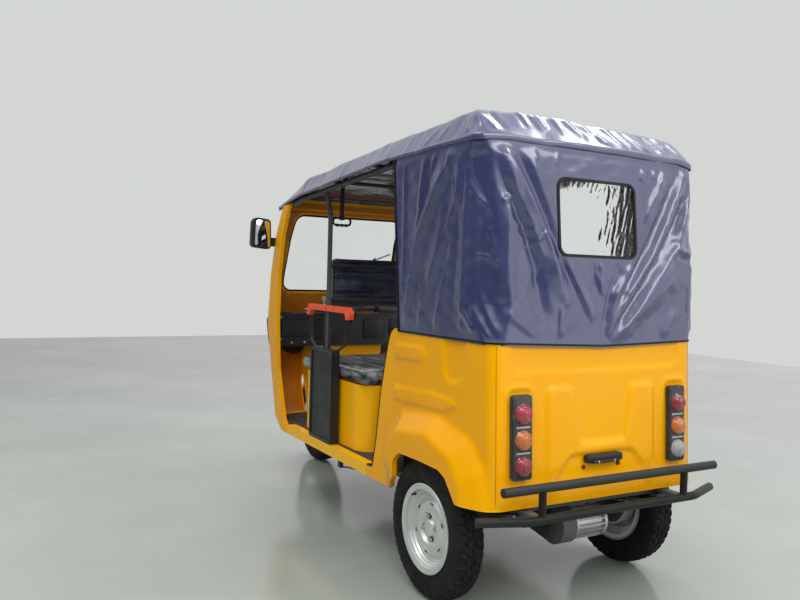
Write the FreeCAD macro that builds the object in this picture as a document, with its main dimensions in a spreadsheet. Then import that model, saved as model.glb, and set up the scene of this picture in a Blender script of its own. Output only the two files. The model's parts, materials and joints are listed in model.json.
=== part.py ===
import FreeCAD, Part
import Sketcher
import math
import os
import re

# Auto rickshaw: a three-wheeled passenger vehicle with a moulded tub, a fabric canopy and an
# electric drive. Millimetres. Front is -Y, the vehicle's left is +X, up is +Z, and the floor is z = 0.
# Lengths along the vehicle are counted from the rear axle, positive to the rear. Every piece is
# then placed axle_back behind the origin, which lies on the floor under the middle of the vehicle.

Vector = FreeCAD.Vector
X_AXIS = Vector(1, 0, 0)
Y_AXIS = Vector(0, 1, 0)
Z_AXIS = Vector(0, 0, 1)
ORIGIN = Vector(0, 0, 0)

# Driving sizes: name, value, what it is
SIZES = (
    ("axle_back", 1001.2, "rear axle behind the origin"),
    ("wheelbase", 2200, "rear axle to front axle"),
    ("rear_track", 950, "between the middles of the rear tyres"),
    ("tyre_radius", 267, "outer radius of a tyre"),
    ("tyre_wide", 112, "width of a tyre"),
    ("rim_seat_radius", 152, "radius where the tyre sits on the rim"),
    ("rim_flange_radius", 167, "radius of the rim's flange"),
    ("rim_wide", 92, "width of the rim between its flanges"),
    ("rim_wall", 5, "sheet of the rim"),
    ("wheel_gap", 25, "free space round a tyre in its housing"),
    ("seat_gap", 0.3, "clearance between pieces that seat on each other"),
    ("half_wide", 489, "side of the tub from the middle"),
    ("panel_wall", 20, "thickness of a body panel"),
    ("flare_out", 61, "how far the wheel flare stands out of the side"),
    ("flare_wall", 9, "outer wall of the wheel flare"),
    ("seam_high", 994, "top of the tub, where the canopy starts"),
    ("tub_low", 426, "lower edge of the tub at the rear"),
    ("rear_back", 378, "rear face of the tub at its lower edge"),
    ("rear_lean", 26, "how far the rear face leans forward up to the seam"),
    ("rear_corner", 45, "radius of the tub's rear corners"),
    ("rear_panel_start", 290, "where the side panel ends and the rear panel starts"),
    ("floor_high", 386, "top of the floor"),
    ("floor_thick", 10, "thickness of the floor"),
    ("rear_floor_up", 70, "step up of the floor over the axle"),
    ("wheel_room", 360, "front edge of the floor over the front wheel, behind the front axle"),
    ("rail_stop", 510, "front end of the chassis rails, behind the front axle"),
    ("floor_step_at", 400, "step of the floor, ahead of the rear axle"),
    ("sill_low", 331, "underside of the sill"),
    ("sill_high", 382, "top of the sill"),
    ("sill_wide", 44, "width of the sill"),
    ("sill_rear", 560, "rear end of the sill, ahead of the rear axle"),
    ("sill_stop", 670, "front end of the sill, behind the front axle"),
    ("rail_clear", 54, "from the wheel's free space to the middle of a chassis rail"),
    ("rail_wide", 40, "width of a chassis rail"),
    ("rail_tall", 50, "height of a chassis rail"),
    ("tunnel_wide", 250, "half width of the front wheel's opening in the nose"),
    ("tunnel_high", 650, "top of the front wheel's opening in the nose"),
    ("screen_low", 1108, "lower edge of the windscreen"),
    ("screen_high", 1568, "upper edge of the windscreen"),
    ("screen_half_low", 378, "half width of the windscreen at its lower edge"),
    ("screen_half_high", 356, "half width of the windscreen at its upper edge"),
    ("screen_corner", 60, "corner radius of the windscreen"),
    ("glass_thick", 5, "thickness of the windscreen"),
    ("cowl_split", 1080, "height where the nose ends and the windscreen frame starts"),
    ("rake", 27, "lean of the steering axis from upright, in degrees"),
    ("fork_offset", 28, "fork legs ahead of the steering axis"),
    ("leg_x", 84, "middle of a fork leg"),
    ("leg_radius", 18, "radius of a fork leg"),
    ("crown_up", 318, "fork crown above the front axle, along the steering axis"),
    ("crown_tall", 30, "height of the fork crown"),
    ("stem_radius", 15, "radius of the steering stem"),
    ("stem_top", 865, "top of the steering stem, along its axis"),
    ("head_radius", 27, "outer radius of the steering head"),
    ("head_tall", 200, "length of the steering head"),
    ("head_gap", 6, "gap between the fork crown and the steering head"),
    ("bar_half", 300, "half width of the handlebar"),
    ("bar_radius", 11, "radius of the handlebar tube"),
    ("bar_grip_radius", 17, "radius of a handlebar grip"),
    ("bar_grip_long", 120, "length of a handlebar grip"),
    ("guard_gap", 14, "space between the front tyre and its mudguard"),
    ("guard_wall", 4, "sheet of the front mudguard"),
    ("bench_half", 430, "half width of the middle bench's base"),
    ("bench_rear", 735, "rear face of the middle bench, ahead of the rear axle"),
    ("bench_front", 1480, "front face of the middle bench, ahead of the rear axle"),
    ("bench_high", 700, "top of the middle bench's base"),
    ("bench_corner", 90, "corner radius of the middle bench's base"),
    ("cushion_tall", 74, "thickness of a seat cushion"),
    ("cushion_over", 14, "how far the middle cushion stands out over its base"),
    ("middle_back_at", 1160, "middle of the middle backrest, ahead of the rear axle"),
    ("middle_back_half", 432, "half width of the middle backrest"),
    ("middle_back_thick", 44, "thickness of the middle backrest"),
    ("middle_back_low", 1056, "lower edge of the middle backrest"),
    ("middle_back_high", 1298, "upper edge of the middle backrest"),
    ("rear_bench_front", 205, "front face of the rear bench, ahead of the rear axle"),
    ("rear_bench_back", 290, "rear face of the rear bench, behind the rear axle"),
    ("rear_bench_high", 690, "top of the rear bench's base"),
    ("rear_back_high", 1180, "top of the rear backrest"),
    ("rear_back_thick", 60, "thickness of the rear backrest"),
    ("roof_thick", 12, "thickness of the canopy"),
    ("curtain_front", 295, "front edge of the canopy's side curtain, ahead of the rear axle"),
    ("canopy_half", 532, "half width of the canopy at the roof's edge"),
    ("canopy_back_at", 288, "rear face of the canopy at the roof's edge"),
    ("canopy_edge_high", 1704, "edge of the roof at the rear"),
    ("window_half", 188, "half width of the rear window"),
    ("window_low", 1311, "lower edge of the rear window"),
    ("window_high", 1590, "upper edge of the rear window"),
    ("window_corner", 30, "corner radius of the rear window"),
    ("film_thick", 4, "thickness of the rear window's clear film"),
    ("frame_tube", 12, "radius of the canopy's frame tubes"),
    ("bow_radius", 10, "radius of the canopy's bows and of the backrest's bars"),
    ("pole_at", 1097, "middle pole, ahead of the rear axle"),
    ("bumper_radius", 16, "radius of the rear bumper's tubes"),
    ("bumper_at", 461, "middle of the rear bumper's tubes behind the rear axle"),
    ("bumper_high", 518, "height of the bumper's upper tube"),
    ("bumper_low", 409, "height of the bumper's lower tube"),
    ("bumper_half", 508, "half length of the bumper's upper tube"),
    ("dash_stop", 410, "rear face of the dashboard, behind the front axle"),
    ("dash_deep", 125, "depth of the dashboard"),
    ("roof_stop", 410, "front edge of the canopy, behind the front axle"),
    ("front_bow_stop", 788, "foremost bow of the canopy, behind the front axle"),
    ("plate_bolt_x", 85, "bolt holes for the number plate, from the middle"),
    ("plate_bolt_high", 545, "height of the number plate's bolt holes"),
    ("plate_bolt_radius", 3.3, "radius of the number plate's bolt holes"),
    ("lamp_x", 377, "middle of a tail lamp"),
    ("lamp_low", 530, "lower end of a tail lamp"),
    ("lamp_high", 822, "upper end of a tail lamp"),
    ("lamp_wide", 92, "width of a tail lamp"),
    ("lamp_deep", 30, "depth of a tail lamp's housing"),
    ("lens_radius", 37, "radius of a tail lamp's lens"),
    ("lens_deep", 26, "height of a tail lamp's lens"),
    ("motor_radius", 68, "radius of the drive motor over its fins"),
    ("motor_back", 112, "motor's middle behind the rear axle"),
    ("motor_drop", 24, "motor's middle below the rear axle"),
    ("motor_long", 165, "length of the drive motor"),
    ("gearbox_wide", 72, "width of the gearbox"),
    ("axle_tube_radius", 32, "radius of the rear axle's tube"),
    ("drum_radius", 100, "radius of a rear brake drum"),
    ("drum_wide", 52, "width of a rear brake drum"),
    ("spring_wide", 45, "width of a leaf spring"),
    ("spring_half", 340, "half length of a leaf spring"),
    ("leaf_thick", 8, "thickness of one leaf"),
    ("side_guard_wide", 43, "depth of the side guard's lower box"),
    ("side_guard_rear", 971, "rear edge of the side guard, ahead of the rear axle"),
    ("side_guard_front", 1240, "front edge of the side guard, ahead of the rear axle"),
    ("side_guard_high", 848, "top of the side guard's lower box"),
    ("loop_radius", 7, "radius of the side guard's loop tubes"),
    ("mirror_wide", 118, "width of a mirror"),
    ("mirror_tall", 184, "height of a mirror"),
    ("mirror_deep", 42, "depth of a mirror"),
    ("mirror_x", 571, "middle of a mirror"),
    ("mirror_high", 1443, "middle of a mirror's height"),
    ("mirror_stop", 370, "mirror's middle, behind the front axle"),
    ("headlamp_radius", 70, "radius of a headlamp"),
    ("headlamp_x", 310, "middle of a headlamp"),
    ("headlamp_high", 800, "height of a headlamp"),
    ("rib_out", 6, "how far the ribs stand out of the tub's side"),
    ("leg_out", 11, "how far the raised legs stand out of the tub's rear"),
    ("recess_deep", 7, "depth of the hollows in the tub's side and rear"),
)
# Sizes that follow from others: name, formula, what it is
DERIVED = (
    ("rail_x", "rear_track / 2 - tyre_wide / 2 - wheel_gap - rail_clear", "middle of a chassis rail"),
    ("bumper_post_x", "rail_x + 2", "posts of the bumper"),
    ("floor_front", "wheelbase - wheel_room", "front edge of the floor, ahead of the rear axle"),
    ("rail_front", "wheelbase - rail_stop", "front end of the chassis rails, ahead of the rear axle"),
    ("sill_front", "wheelbase - sill_stop", "front end of the sill, ahead of the rear axle"),
    ("dash_rear", "wheelbase - dash_stop", "rear face of the dashboard, ahead of the rear axle"),
    ("roof_front", "wheelbase - roof_stop", "front edge of the canopy, ahead of the rear axle"),
    ("front_bow", "wheelbase - front_bow_stop", "foremost bow of the canopy, ahead of the rear axle"),
    ("mirror_at", "wheelbase - mirror_stop", "mirror's middle, ahead of the rear axle"),
)

doc = FreeCAD.newDocument("auto_rickshaw")
sheet = doc.addObject("Spreadsheet::Sheet", "sizes")
cells = [(name, str(value), meaning) for name, value, meaning in SIZES]
cells += [(name, "=" + formula, meaning) for name, formula, meaning in DERIVED]
for row, (name, content, meaning) in enumerate(cells, start=1):
    sheet.set("A%d" % row, name)
    sheet.set("B%d" % row, content)
    sheet.set("C%d" % row, meaning)
    sheet.setAlias("B%d" % row, name)
doc.recompute()


class Sizes:
    """The sheet's values by name, for the shapes that are worked out in code."""


s = Sizes()
for name, content, meaning in cells:
    setattr(s, name, float(sheet.get(name)))

NAMES = re.compile(r"\b(" + "|".join(name for name, content, meaning in cells) + r")\b")
nodes = []


def bound(expression):
    """Point each size's name in an expression to its cell of the sheet."""
    return NAMES.sub(r"sizes.\1", str(expression))


def bind(thing, prop, expression):
    thing.setExpression(prop, bound(expression))


def put(thing, x, y, z):
    """Bind a place to the sheet."""
    bind(thing, "Placement.Base.x", x)
    bind(thing, "Placement.Base.y", y)
    bind(thing, "Placement.Base.z", z)
    return thing


def box(name, low, high):
    """A box between two corners, each given as three expressions."""
    made = doc.addObject("Part::Box", name)
    for prop, a, b in zip(("Length", "Width", "Height"), low, high):
        bind(made, prop, "(%s) - (%s)" % (b, a))
    return put(made, *low)


def fixed(name, shape):
    """A shape worked out from the sheet's values in code."""
    made = doc.addObject("Part::Feature", name)
    # a compound keeps the shape where it is when the node is placed
    made.Shape = Part.makeCompound([shape])
    return made


def fuse(name, parts):
    made = doc.addObject("Part::MultiFuse", name)
    made.Shapes = parts
    made.Refine = True
    return made


def group(name, parts):
    """Solids that don't touch, kept in one node."""
    made = doc.addObject("Part::Compound", name)
    made.Links = parts
    return made


def mirrored(name, source):
    """The same piece on the vehicle's other side."""
    made = doc.addObject("Part::Mirroring", name)
    made.Source = source
    made.Base = ORIGIN
    made.Normal = X_AXIS
    return made


def node(label, thing, shift=True):
    """Make a thing a sub-part of the vehicle, placed behind the origin."""
    thing.Label = label
    if shift:
        bind(thing, "Placement.Base.y", "axle_back")
    nodes.append(thing)
    return thing


def pair(name, left):
    """A left node and its mirror image on the right."""
    node(name + "_left", left)
    node(name + "_right", mirrored(name + "_right_mirror", left), shift=False)


def round_corners(points, radii, closed=True):
    """A wire through points, with an arc of the given radius at each corner."""
    count = len(points)
    edges = []
    ends = []
    for i, (point, radius) in enumerate(zip(points, radii)):
        inner = closed or 0 < i < count - 1
        if radius <= 0 or not inner:
            ends.append((point, point))
            continue
        before = (points[i - 1] - point).normalize()
        after = (points[(i + 1) % count] - point).normalize()
        half = before.getAngle(after) / 2
        reach = radius / math.tan(half)
        middle = (before + after).normalize()
        centre = point + middle * (radius / math.sin(half))
        start = point + before * reach
        end = point + after * reach
        edges.append((i, Part.Arc(start, centre - middle * radius, end).toShape()))
        ends.append((start, end))
    arcs = dict(edges)
    ordered = []
    for i in range(count):
        if i in arcs:
            ordered.append(arcs[i])
        if i == count - 1 and not closed:
            break
        a = ends[i][1]
        b = ends[(i + 1) % count][0]
        if a.distanceToPoint(b) > 1e-6:
            ordered.append(Part.LineSegment(a, b).toShape())
    return Part.Wire(ordered)


def tube(points, radius, bend):
    """A round bar along points, bent round each inner one."""
    points = [Vector(*p) for p in points]
    path = round_corners(points, [bend] * len(points), closed=False)
    first = (points[1] - points[0]).normalize()
    ring = Part.Wire([Part.makeCircle(radius, points[0], first)])
    return path.makePipeShell([ring], True, False)


def prism(points, radii, along):
    """A closed outline with rounded corners, pulled along a vector."""
    wire = round_corners([Vector(*p) for p in points], radii)
    return Part.Face(wire).extrude(along)


def sketched(body, name, plane, points):
    """A sketch of straight lines whose corners are bound to the sheet."""
    sketch = body.newObject("Sketcher::SketchObject", name)
    origin = [f for f in body.Origin.OriginFeatures if f.Role == plane][0]
    sketch.AttachmentSupport = [(origin, "")]
    sketch.MapMode = "FlatFace"
    count = len(points)
    spread = [Vector(math.cos(2 * math.pi * i / count), math.sin(2 * math.pi * i / count), 0)
              for i in range(count)]
    for i in range(count):
        sketch.addGeometry(Part.LineSegment(spread[i], spread[(i + 1) % count]), False)
    for i in range(count):
        sketch.addConstraint(Sketcher.Constraint("Coincident", i, 2, (i + 1) % count, 1))
    for i, (across, up) in enumerate(points):
        for kind, expression in (("DistanceX", across), ("DistanceY", up)):
            start = spread[i].x if kind == "DistanceX" else spread[i].y
            made = sketch.addConstraint(Sketcher.Constraint(kind, -1, 1, i, 1, start))
            bind(sketch, "Constraints[%d]" % made, expression)
    return sketch


def pad(name, plane, points, long, middle=True):
    """A body made by padding one sketched outline."""
    body = doc.addObject("PartDesign::Body", name)
    sketch = sketched(body, name + "_outline", plane, points)
    padded = body.newObject("PartDesign::Pad", name + "_pad")
    padded.Profile = sketch
    padded.Midplane = middle
    bind(padded, "Length", long)
    return body


def turned(name, points):
    """A body turned about its X axis from an outline of (along the axis, radius)."""
    body = doc.addObject("PartDesign::Body", name)
    sketch = sketched(body, name + "_outline", "XY_Plane", points)
    made = body.newObject("PartDesign::Revolution", name + "_turned")
    made.Profile = sketch
    made.ReferenceAxis = (sketch, ["H_Axis"])
    made.Angle = 360
    return body


def across(side, near, far):
    """The two ends of a box on one side, from its ends on the left side."""
    if side > 0:
        return near, far
    return "-(%s)" % far, "-(%s)" % near


def side_boxes(name, near, far, start, end, low, high):
    """A box and its twin on the other side."""
    made = []
    for side in (1, -1):
        x_low, x_high = across(side, near, far)
        made.append(box(name, (x_low, start, low), (x_high, end, high)))
    return made


# Chassis frame: two rails that step up over the axle, cross members, bumper arms and the neck
rail_top = "floor_high - floor_thick - seat_gap"
rail_low = "floor_high - floor_thick - seat_gap - rail_tall"
rail_in = "rail_x - rail_wide / 2"
rail_out = "rail_x + rail_wide / 2"
frame_end = "rear_back - rear_lean - panel_wall - 2 * seat_gap"
rails = side_boxes("rail_long", rail_in, rail_out, "-rail_front", "-floor_step_at - floor_thick - 1",
                   rail_low, rail_top)
rails += side_boxes("rail_step", rail_in, rail_out, "-floor_step_at - floor_thick - 1 - rail_wide",
                    "-floor_step_at - floor_thick - 1", rail_low, rail_top)
rails += side_boxes("rail_rise", rail_in, rail_out, "-floor_step_at", "-floor_step_at + rail_wide",
                    rail_low, rail_top + " + rear_floor_up")
rails += side_boxes("rail_bridge", rail_in, rail_out, "-floor_step_at - rail_wide", "-floor_step_at + rail_wide",
                    rail_low, rail_low + " + rail_tall - floor_thick")
rails += side_boxes("rail_rear", rail_in, rail_out, "-floor_step_at", frame_end,
                    rail_low + " + rear_floor_up", rail_top + " + rear_floor_up")
# cross members: from, to (both along the vehicle), raised with the rear floor
CROSS = (
    ("-rail_front", "-rail_front + rail_wide", "0"),
    ("-side_guard_front", "-side_guard_front + rail_wide", "0"),
    ("-floor_step_at - 3 * rail_wide", "-floor_step_at - 2 * rail_wide", "0"),
    (frame_end + " - rail_wide", frame_end, "rear_floor_up"),
)
for start, end, up in CROSS:
    rails.append(box("cross", ("-rail_x", start, "%s + %s" % (rail_low, up)),
                     ("rail_x", end, "%s + %s" % (rail_top, up))))
arm_low = "bumper_low - bumper_radius / 2"
rails += side_boxes("bumper_arm", "bumper_post_x - bumper_radius", "bumper_post_x + bumper_radius",
                    frame_end + " - rail_wide", "bumper_at - bumper_radius - seat_gap",
                    arm_low, "bumper_low + bumper_radius / 2")

rake = math.radians(s.rake)
lean = Vector(0, math.sin(rake), math.cos(rake))
ahead = Vector(0, -math.cos(rake), math.sin(rake))
front_axle = Vector(0, -s.wheelbase, s.tyre_radius)
steer_foot = front_axle - ahead * s.fork_offset


def on_stem(up):
    """A point on the steering axis, counted up from the front axle's height."""
    return steer_foot + lean * up


head_low = s.crown_up + s.crown_tall + s.head_gap
neck_radius = s.head_radius
neck_up = on_stem(head_low + s.head_tall * 0.6)
neck_at = -s.floor_front - neck_radius
neck_base = s.floor_high - s.floor_thick - s.seat_gap - s.rail_tall
neck = tube([neck_up, (0, neck_at, neck_up.z - 60), (0, neck_at, neck_base)], neck_radius, 30)
neck_foot = Part.makeBox(2 * neck_radius, s.floor_front + neck_radius - s.rail_front + 1, s.rail_tall,
                         Vector(-neck_radius, -s.floor_front - neck_radius, neck_base))
head = Part.makeCylinder(s.head_radius, s.head_tall, on_stem(head_low), lean)
bore = Part.makeCylinder(s.stem_radius + s.seat_gap, s.head_tall * 2,
                         on_stem(head_low - s.head_tall / 2), lean)
rails.append(fixed("neck", neck.fuse([neck_foot, head]).cut(bore)))
node("chassis_frame", fuse("frame_joined", rails))

# Sills along the door openings
node("sills", group("sills_both", side_boxes("sill", "half_wide - sill_wide", "half_wide",
                                             "-sill_front + seat_gap", "-sill_rear - seat_gap",
                                             "sill_low", "sill_high")))

# Side panel: the flat of the tub, the flare over the wheel and the arch cut through both
side_in = s.half_wide - s.panel_wall
flare_x = s.half_wide + s.flare_out
rear_face_top = s.rear_back - s.rear_lean
# outline of the panel: along the vehicle, height, corner radius
PANEL = (
    (s.rear_panel_start, s.tub_low, 0),
    (s.rear_panel_start, s.seam_high, 0),
    (-s.curtain_front - 100, s.seam_high, 70),
    (-s.sill_rear + 48, s.sill_high, 0),
    (-s.sill_rear, s.sill_high, 0),
    (-s.sill_rear, s.sill_low, 0),
    (-s.tyre_radius - 30, s.sill_low + 10, 0),
)
# wheel flare: along the vehicle, height inside the side's wall, then the same at the flare's top.
# Its rear end blends into the tub's rear corner
FLARE = (
    (-392, 334, -302, 344),
    (-393, 543, -300, 530),
    (-261, 692, -212, 604),
    (21, 720, 15, 632),
    (254, 672, 190, 575),
    (330, 560, 262, 490),
    (370, s.tub_low, 288, s.tub_low),
)
# raised ribs and the hollow under the seam in the side: along the vehicle, height, corner radius
SIDE_RIBS = (
    ((-330, 941, 0), (-112, 946, 22), (-78, 914, 26), (-112, 886, 22), (-330, 881, 0)),
    ((-330, 764, 0), (-30, 778, 30), (122, 768, 26), (146, 752, 10), (60, 718, 60), (-330, 708, 0)),
)
SIDE_HOLLOW = (
    (44, 1060, 0), (44, 900, 60), (66, 838, 50), (150, 836, 46), (176, 900, 60), (182, 1060, 0),
)
# wheel arch: along the vehicle, height, corner radius
ARCH = (
    (-301, 250, 0),
    (-301, 350, 0),
    (-222, 412, 30),
    (-222, 480, 40),
    (-172, 522, 30),
    (125, 522, 45),
    (205, 466, 40),
    (236, 426, 0),
    (236, 250, 0),
)


def yz_prism(table, x_low, x_high):
    """An outline of (along the vehicle, height, corner radius) pulled across the vehicle."""
    points = [(x_low, y, z) for y, z, radius in table]
    return prism(points, [radius for y, z, radius in table], Vector(x_high - x_low, 0, 0))


def xz_prism(table, y_low, y_high):
    """An outline of (across, height, corner radius) pulled along the vehicle."""
    points = [(x, y_low, z) for x, z, radius in table]
    return prism(points, [radius for x, z, radius in table], Vector(0, y_high - y_low, 0))


def loft(sections, ruled=True):
    return Part.makeLoft(sections, True, ruled)


panel = yz_prism(PANEL, side_in, s.half_wide)
flare_foot = Part.makePolygon([Vector(side_in + 1, y, z) for y, z, y2, z2 in FLARE + FLARE[:1]])
flare_top = Part.makePolygon([Vector(flare_x, y2, z2) for y, z, y2, z2 in FLARE + FLARE[:1]])
# behind the arch the flare ends at the tub's lower edge
flare_low = Part.makeBox(flare_x, s.rear_back, s.tub_low, Vector(0, ARCH[-1][0], 0))
flare = loft([flare_foot, flare_top]).cut(flare_low)
behind = Part.makeBox(s.half_wide, s.rear_back, s.seam_high, Vector(side_in, s.rear_panel_start, 0))
flare_side = flare.cut(behind)
behind.translate(Vector(0, s.seat_gap, 0))
flare_rear = flare.common(behind)
ribs = [yz_prism(rib, side_in, s.half_wide + s.rib_out) for rib in SIDE_RIBS]
hollow = yz_prism(SIDE_HOLLOW, s.half_wide - s.recess_deep, s.half_wide + 1)
wheel_space = Part.makeCylinder(s.tyre_radius + s.wheel_gap, flare_x - s.flare_wall,
                                Vector(0, 0, s.tyre_radius), X_AXIS)
arch = yz_prism(ARCH, 0, 2 * flare_x)
panel = panel.fuse([flare_side] + ribs).cut([wheel_space, arch, hollow]).removeSplitter()
pair("side_panel", fixed("side_panel_shape", panel))

# Wheel housings: a half drum over each tyre, closed towards the cabin
housing_radius = s.tyre_radius + s.wheel_gap + s.flare_wall
housing_x = s.rear_track / 2 - s.tyre_wide / 2 - s.wheel_gap
housing_foot = s.floor_high - s.floor_thick
drum = Part.makeCylinder(housing_radius, side_in - s.seat_gap - housing_x,
                         Vector(housing_x, 0, s.tyre_radius), X_AXIS)
inside = Part.makeCylinder(housing_radius - s.flare_wall, side_in,
                           Vector(housing_x + s.flare_wall, 0, s.tyre_radius), X_AXIS)
below = Part.makeBox(side_in, 3 * housing_radius, housing_foot + 500,
                     Vector(housing_x - 1, -1.5 * housing_radius, -500))
housing = drum.cut([inside, below])
both = [fixed("housing", housing), fixed("housing_mirror", housing.mirror(ORIGIN, X_AXIS))]
node("wheel_housings", group("housings_both", both))


# Rear panel: leans forward to the seam and wraps round both rear corners
def rear_plan(inset, lean_share, z):
    """Plan outline of the tub's rear at a height, inset into the wall."""
    back = s.rear_back - s.rear_lean * lean_share - inset
    half = s.half_wide - inset
    radius = s.rear_corner - inset
    start = s.rear_panel_start + s.seat_gap
    points = [Vector(half, start, z), Vector(half, back, z), Vector(-half, back, z), Vector(-half, start, z)]
    if inset:
        points[0].y = points[3].y = start - 1
    return round_corners(points, [0, radius, radius, 0])


outer = loft([rear_plan(0, 0, s.tub_low), rear_plan(0, 1, s.seam_high)])
slope = s.rear_lean / (s.seam_high - s.tub_low)
inner = loft([rear_plan(s.panel_wall, -slope, s.tub_low - 1),
              rear_plan(s.panel_wall, 1 + slope, s.seam_high + 1)])
# raised legs and the wide recess in the rear: across on the left side, height, corner radius
LEGS = (
    (260, 300, 0), (260, 838, 26), (143, 838, 30), (106, 632, 26), (-106, 632, 26), (-143, 838, 30), (-260, 838, 26),
    (-260, 300, 0), (-231, 300, 0), (-211, 520, 30), (-151, 594, 45), (151, 594, 45), (211, 520, 30), (231, 300, 0),
)
REAR_RECESS = (
    (-405, 1090, 0), (-405, 925, 26), (-380, 900, 26), (380, 900, 26), (405, 925, 26), (405, 1090, 0),
)
raised = loft([rear_plan(-s.leg_out, 0, s.tub_low), rear_plan(-s.leg_out, 1, s.seam_high)])
legs = raised.common(xz_prism(LEGS, s.rear_panel_start, s.rear_back + s.panel_wall))
sunk = loft([rear_plan(s.recess_deep, -slope, s.tub_low - 1), rear_plan(s.recess_deep, 1 + slope, s.seam_high + 1)])
recess = xz_prism(REAR_RECESS, s.rear_panel_start, s.rear_back + 1).cut(sunk)
plate_holes = [Part.makeCylinder(s.plate_bolt_radius, 2 * s.panel_wall + s.rear_lean,
                                 Vector(side * s.plate_bolt_x, s.rear_back - 2 * s.panel_wall, s.plate_bolt_high),
                                 Y_AXIS) for side in (-1, 1)]
outer = outer.fuse([legs, flare_rear, flare_rear.mirror(ORIGIN, X_AXIS)])
node("rear_panel", fixed("rear_panel_shape", outer.cut([inner, recess] + plate_holes).removeSplitter()))

# Nose and windscreen frame: one tapered shell, rounded in plan, split below the windscreen.
# Each row: height, then how far behind the front axle the door edge and the nose's tip are,
# and how far the front bows out between its corners
NOSE_ROWS = (
    (331, 670, 399, 30),
    (398, 590, 283, 40),
    (670, 478, 156, 62),
    (924, 448, 109, 45),
    (1197, 455, 178, 25),
    (1431, 510, 258, 22),
    (1600, 595, 370, 20),
)
NOSE = [(z, s.wheelbase - door, s.wheelbase - tip, bow) for z, door, tip, bow in NOSE_ROWS]
NOSE_CORNER = 130


def nose_plan(inset, z, door, tip, bow):
    """Plan outline of the nose at a height: straight sides, round corners and a bowed front."""
    slope = 2 * math.atan(bow / (s.half_wide - NOSE_CORNER))
    radius = NOSE_CORNER / (1 - math.sin(slope))
    start = tip - bow - radius * math.cos(slope)
    turn = math.pi / 2 - slope
    right = [Vector(s.half_wide - inset, -door + (10 if inset else 0), z)]
    for angle in (0, turn / 2, turn):
        right.append(Vector(s.half_wide - radius + (radius - inset) * math.cos(angle),
                            -start - (radius - inset) * math.sin(angle), z))
    left = [Vector(-p.x, p.y, p.z) for p in right]
    edges = [Part.LineSegment(right[0], right[1]), Part.Arc(right[1], right[2], right[3]),
             Part.Arc(right[3], Vector(0, -tip + inset, z), left[3]), Part.Arc(left[3], left[2], left[1]),
             Part.LineSegment(left[1], left[0]), Part.LineSegment(left[0], right[0])]
    return Part.Wire([edge.toShape() for edge in edges])


def nose_block(inset, reach=0):
    """The nose filled up to an inset face, taller by reach at both ends."""
    rows = [list(row) for row in NOSE]
    rows[0][0] -= reach
    rows[-1][0] += reach
    return loft([nose_plan(inset, *row) for row in rows])


# Roof of the canopy: along the vehicle, half width and height of its edge, the same of its
# shoulder, half width and height of its flat top
ROOF = (
    (s.canopy_back_at, s.canopy_half + 2, 1690, 505, 1704, 430, 1712),
    (205, s.canopy_half + 1, 1690, 480, 1812, 400, 1820),
    (-411, s.canopy_half - 1, 1690, 472, 1790, 390, 1804),
    (-s.front_bow, 506, 1634, 452, 1730, 360, 1746),
    (-s.roof_front, 478, 1601, 436, 1637, 320, 1662),
)


def roof_section(row, inset, shift):
    y, edge_x, edge_z, shoulder_x, shoulder_z, flat_x, top_z = row
    half = [(edge_x - inset, edge_z - (1 if inset else 0)),
            (shoulder_x - inset * 0.6, shoulder_z - inset), (flat_x - inset * 0.3, top_z - inset)]
    points = [Vector(x, y + shift, z) for x, z in half]
    points += [Vector(-x, y + shift, z) for x, z in reversed(half)]
    return Part.makePolygon(points + points[:1])


def roof_block(inset):
    """The roof filled up to an inset face; an inset one runs out at the front."""
    shifts = [-inset] + [0] * (len(ROOF) - 2) + [-1 if inset else 0]
    return loft([roof_section(row, inset, shift) for row, shift in zip(ROOF, shifts)])


def roof_at(y, column):
    """One column of the roof's table at a place along the vehicle."""
    for a, b in zip(ROOF, ROOF[1:]):
        if b[0] <= y <= a[0]:
            share = (y - a[0]) / (b[0] - a[0])
            return a[column] + (b[column] - a[column]) * share
    raise ValueError("the roof doesn't reach there")


roof = roof_block(0).cut(roof_block(s.roof_thick))
node("canopy_roof", fixed("canopy_roof_shape", roof))

shell = nose_block(0).cut(nose_block(s.panel_wall, 1))
far = 5000
lower_half = Part.makeBox(far, far, s.cowl_split, Vector(-far / 2, -far / 2, 0))
screen = ((-s.screen_half_low, s.screen_low, s.screen_corner),
          (s.screen_half_low, s.screen_low, s.screen_corner),
          (s.screen_half_high, s.screen_high, s.screen_corner),
          (-s.screen_half_high, s.screen_high, s.screen_corner))
tunnel = ((-s.tunnel_wide, 0, 0), (s.tunnel_wide, 0, 0),
          (s.tunnel_wide, s.tunnel_high, 110), (-s.tunnel_wide, s.tunnel_high, 110))
nose_near = -s.wheelbase - 200
nose_far = -s.wheelbase + 450
cowl = shell.common(lower_half).cut(xz_prism(tunnel, nose_near, nose_far))
lamp_face = -s.wheelbase + 170
lamp_back = -s.wheelbase + 265
for side in (-1, 1):
    cowl = cowl.cut(Part.makeCylinder(s.headlamp_radius + s.seat_gap, 300,
                                      Vector(side * s.headlamp_x, lamp_face - 60, s.headlamp_high), Y_AXIS))
node("front_cowl", fixed("front_cowl_shape", cowl))

upper = shell.cut(Part.makeBox(far, far, s.cowl_split + s.seat_gap, Vector(-far / 2, -far / 2, 0)))
upper = upper.cut(xz_prism(screen, nose_near, nose_far))
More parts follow.
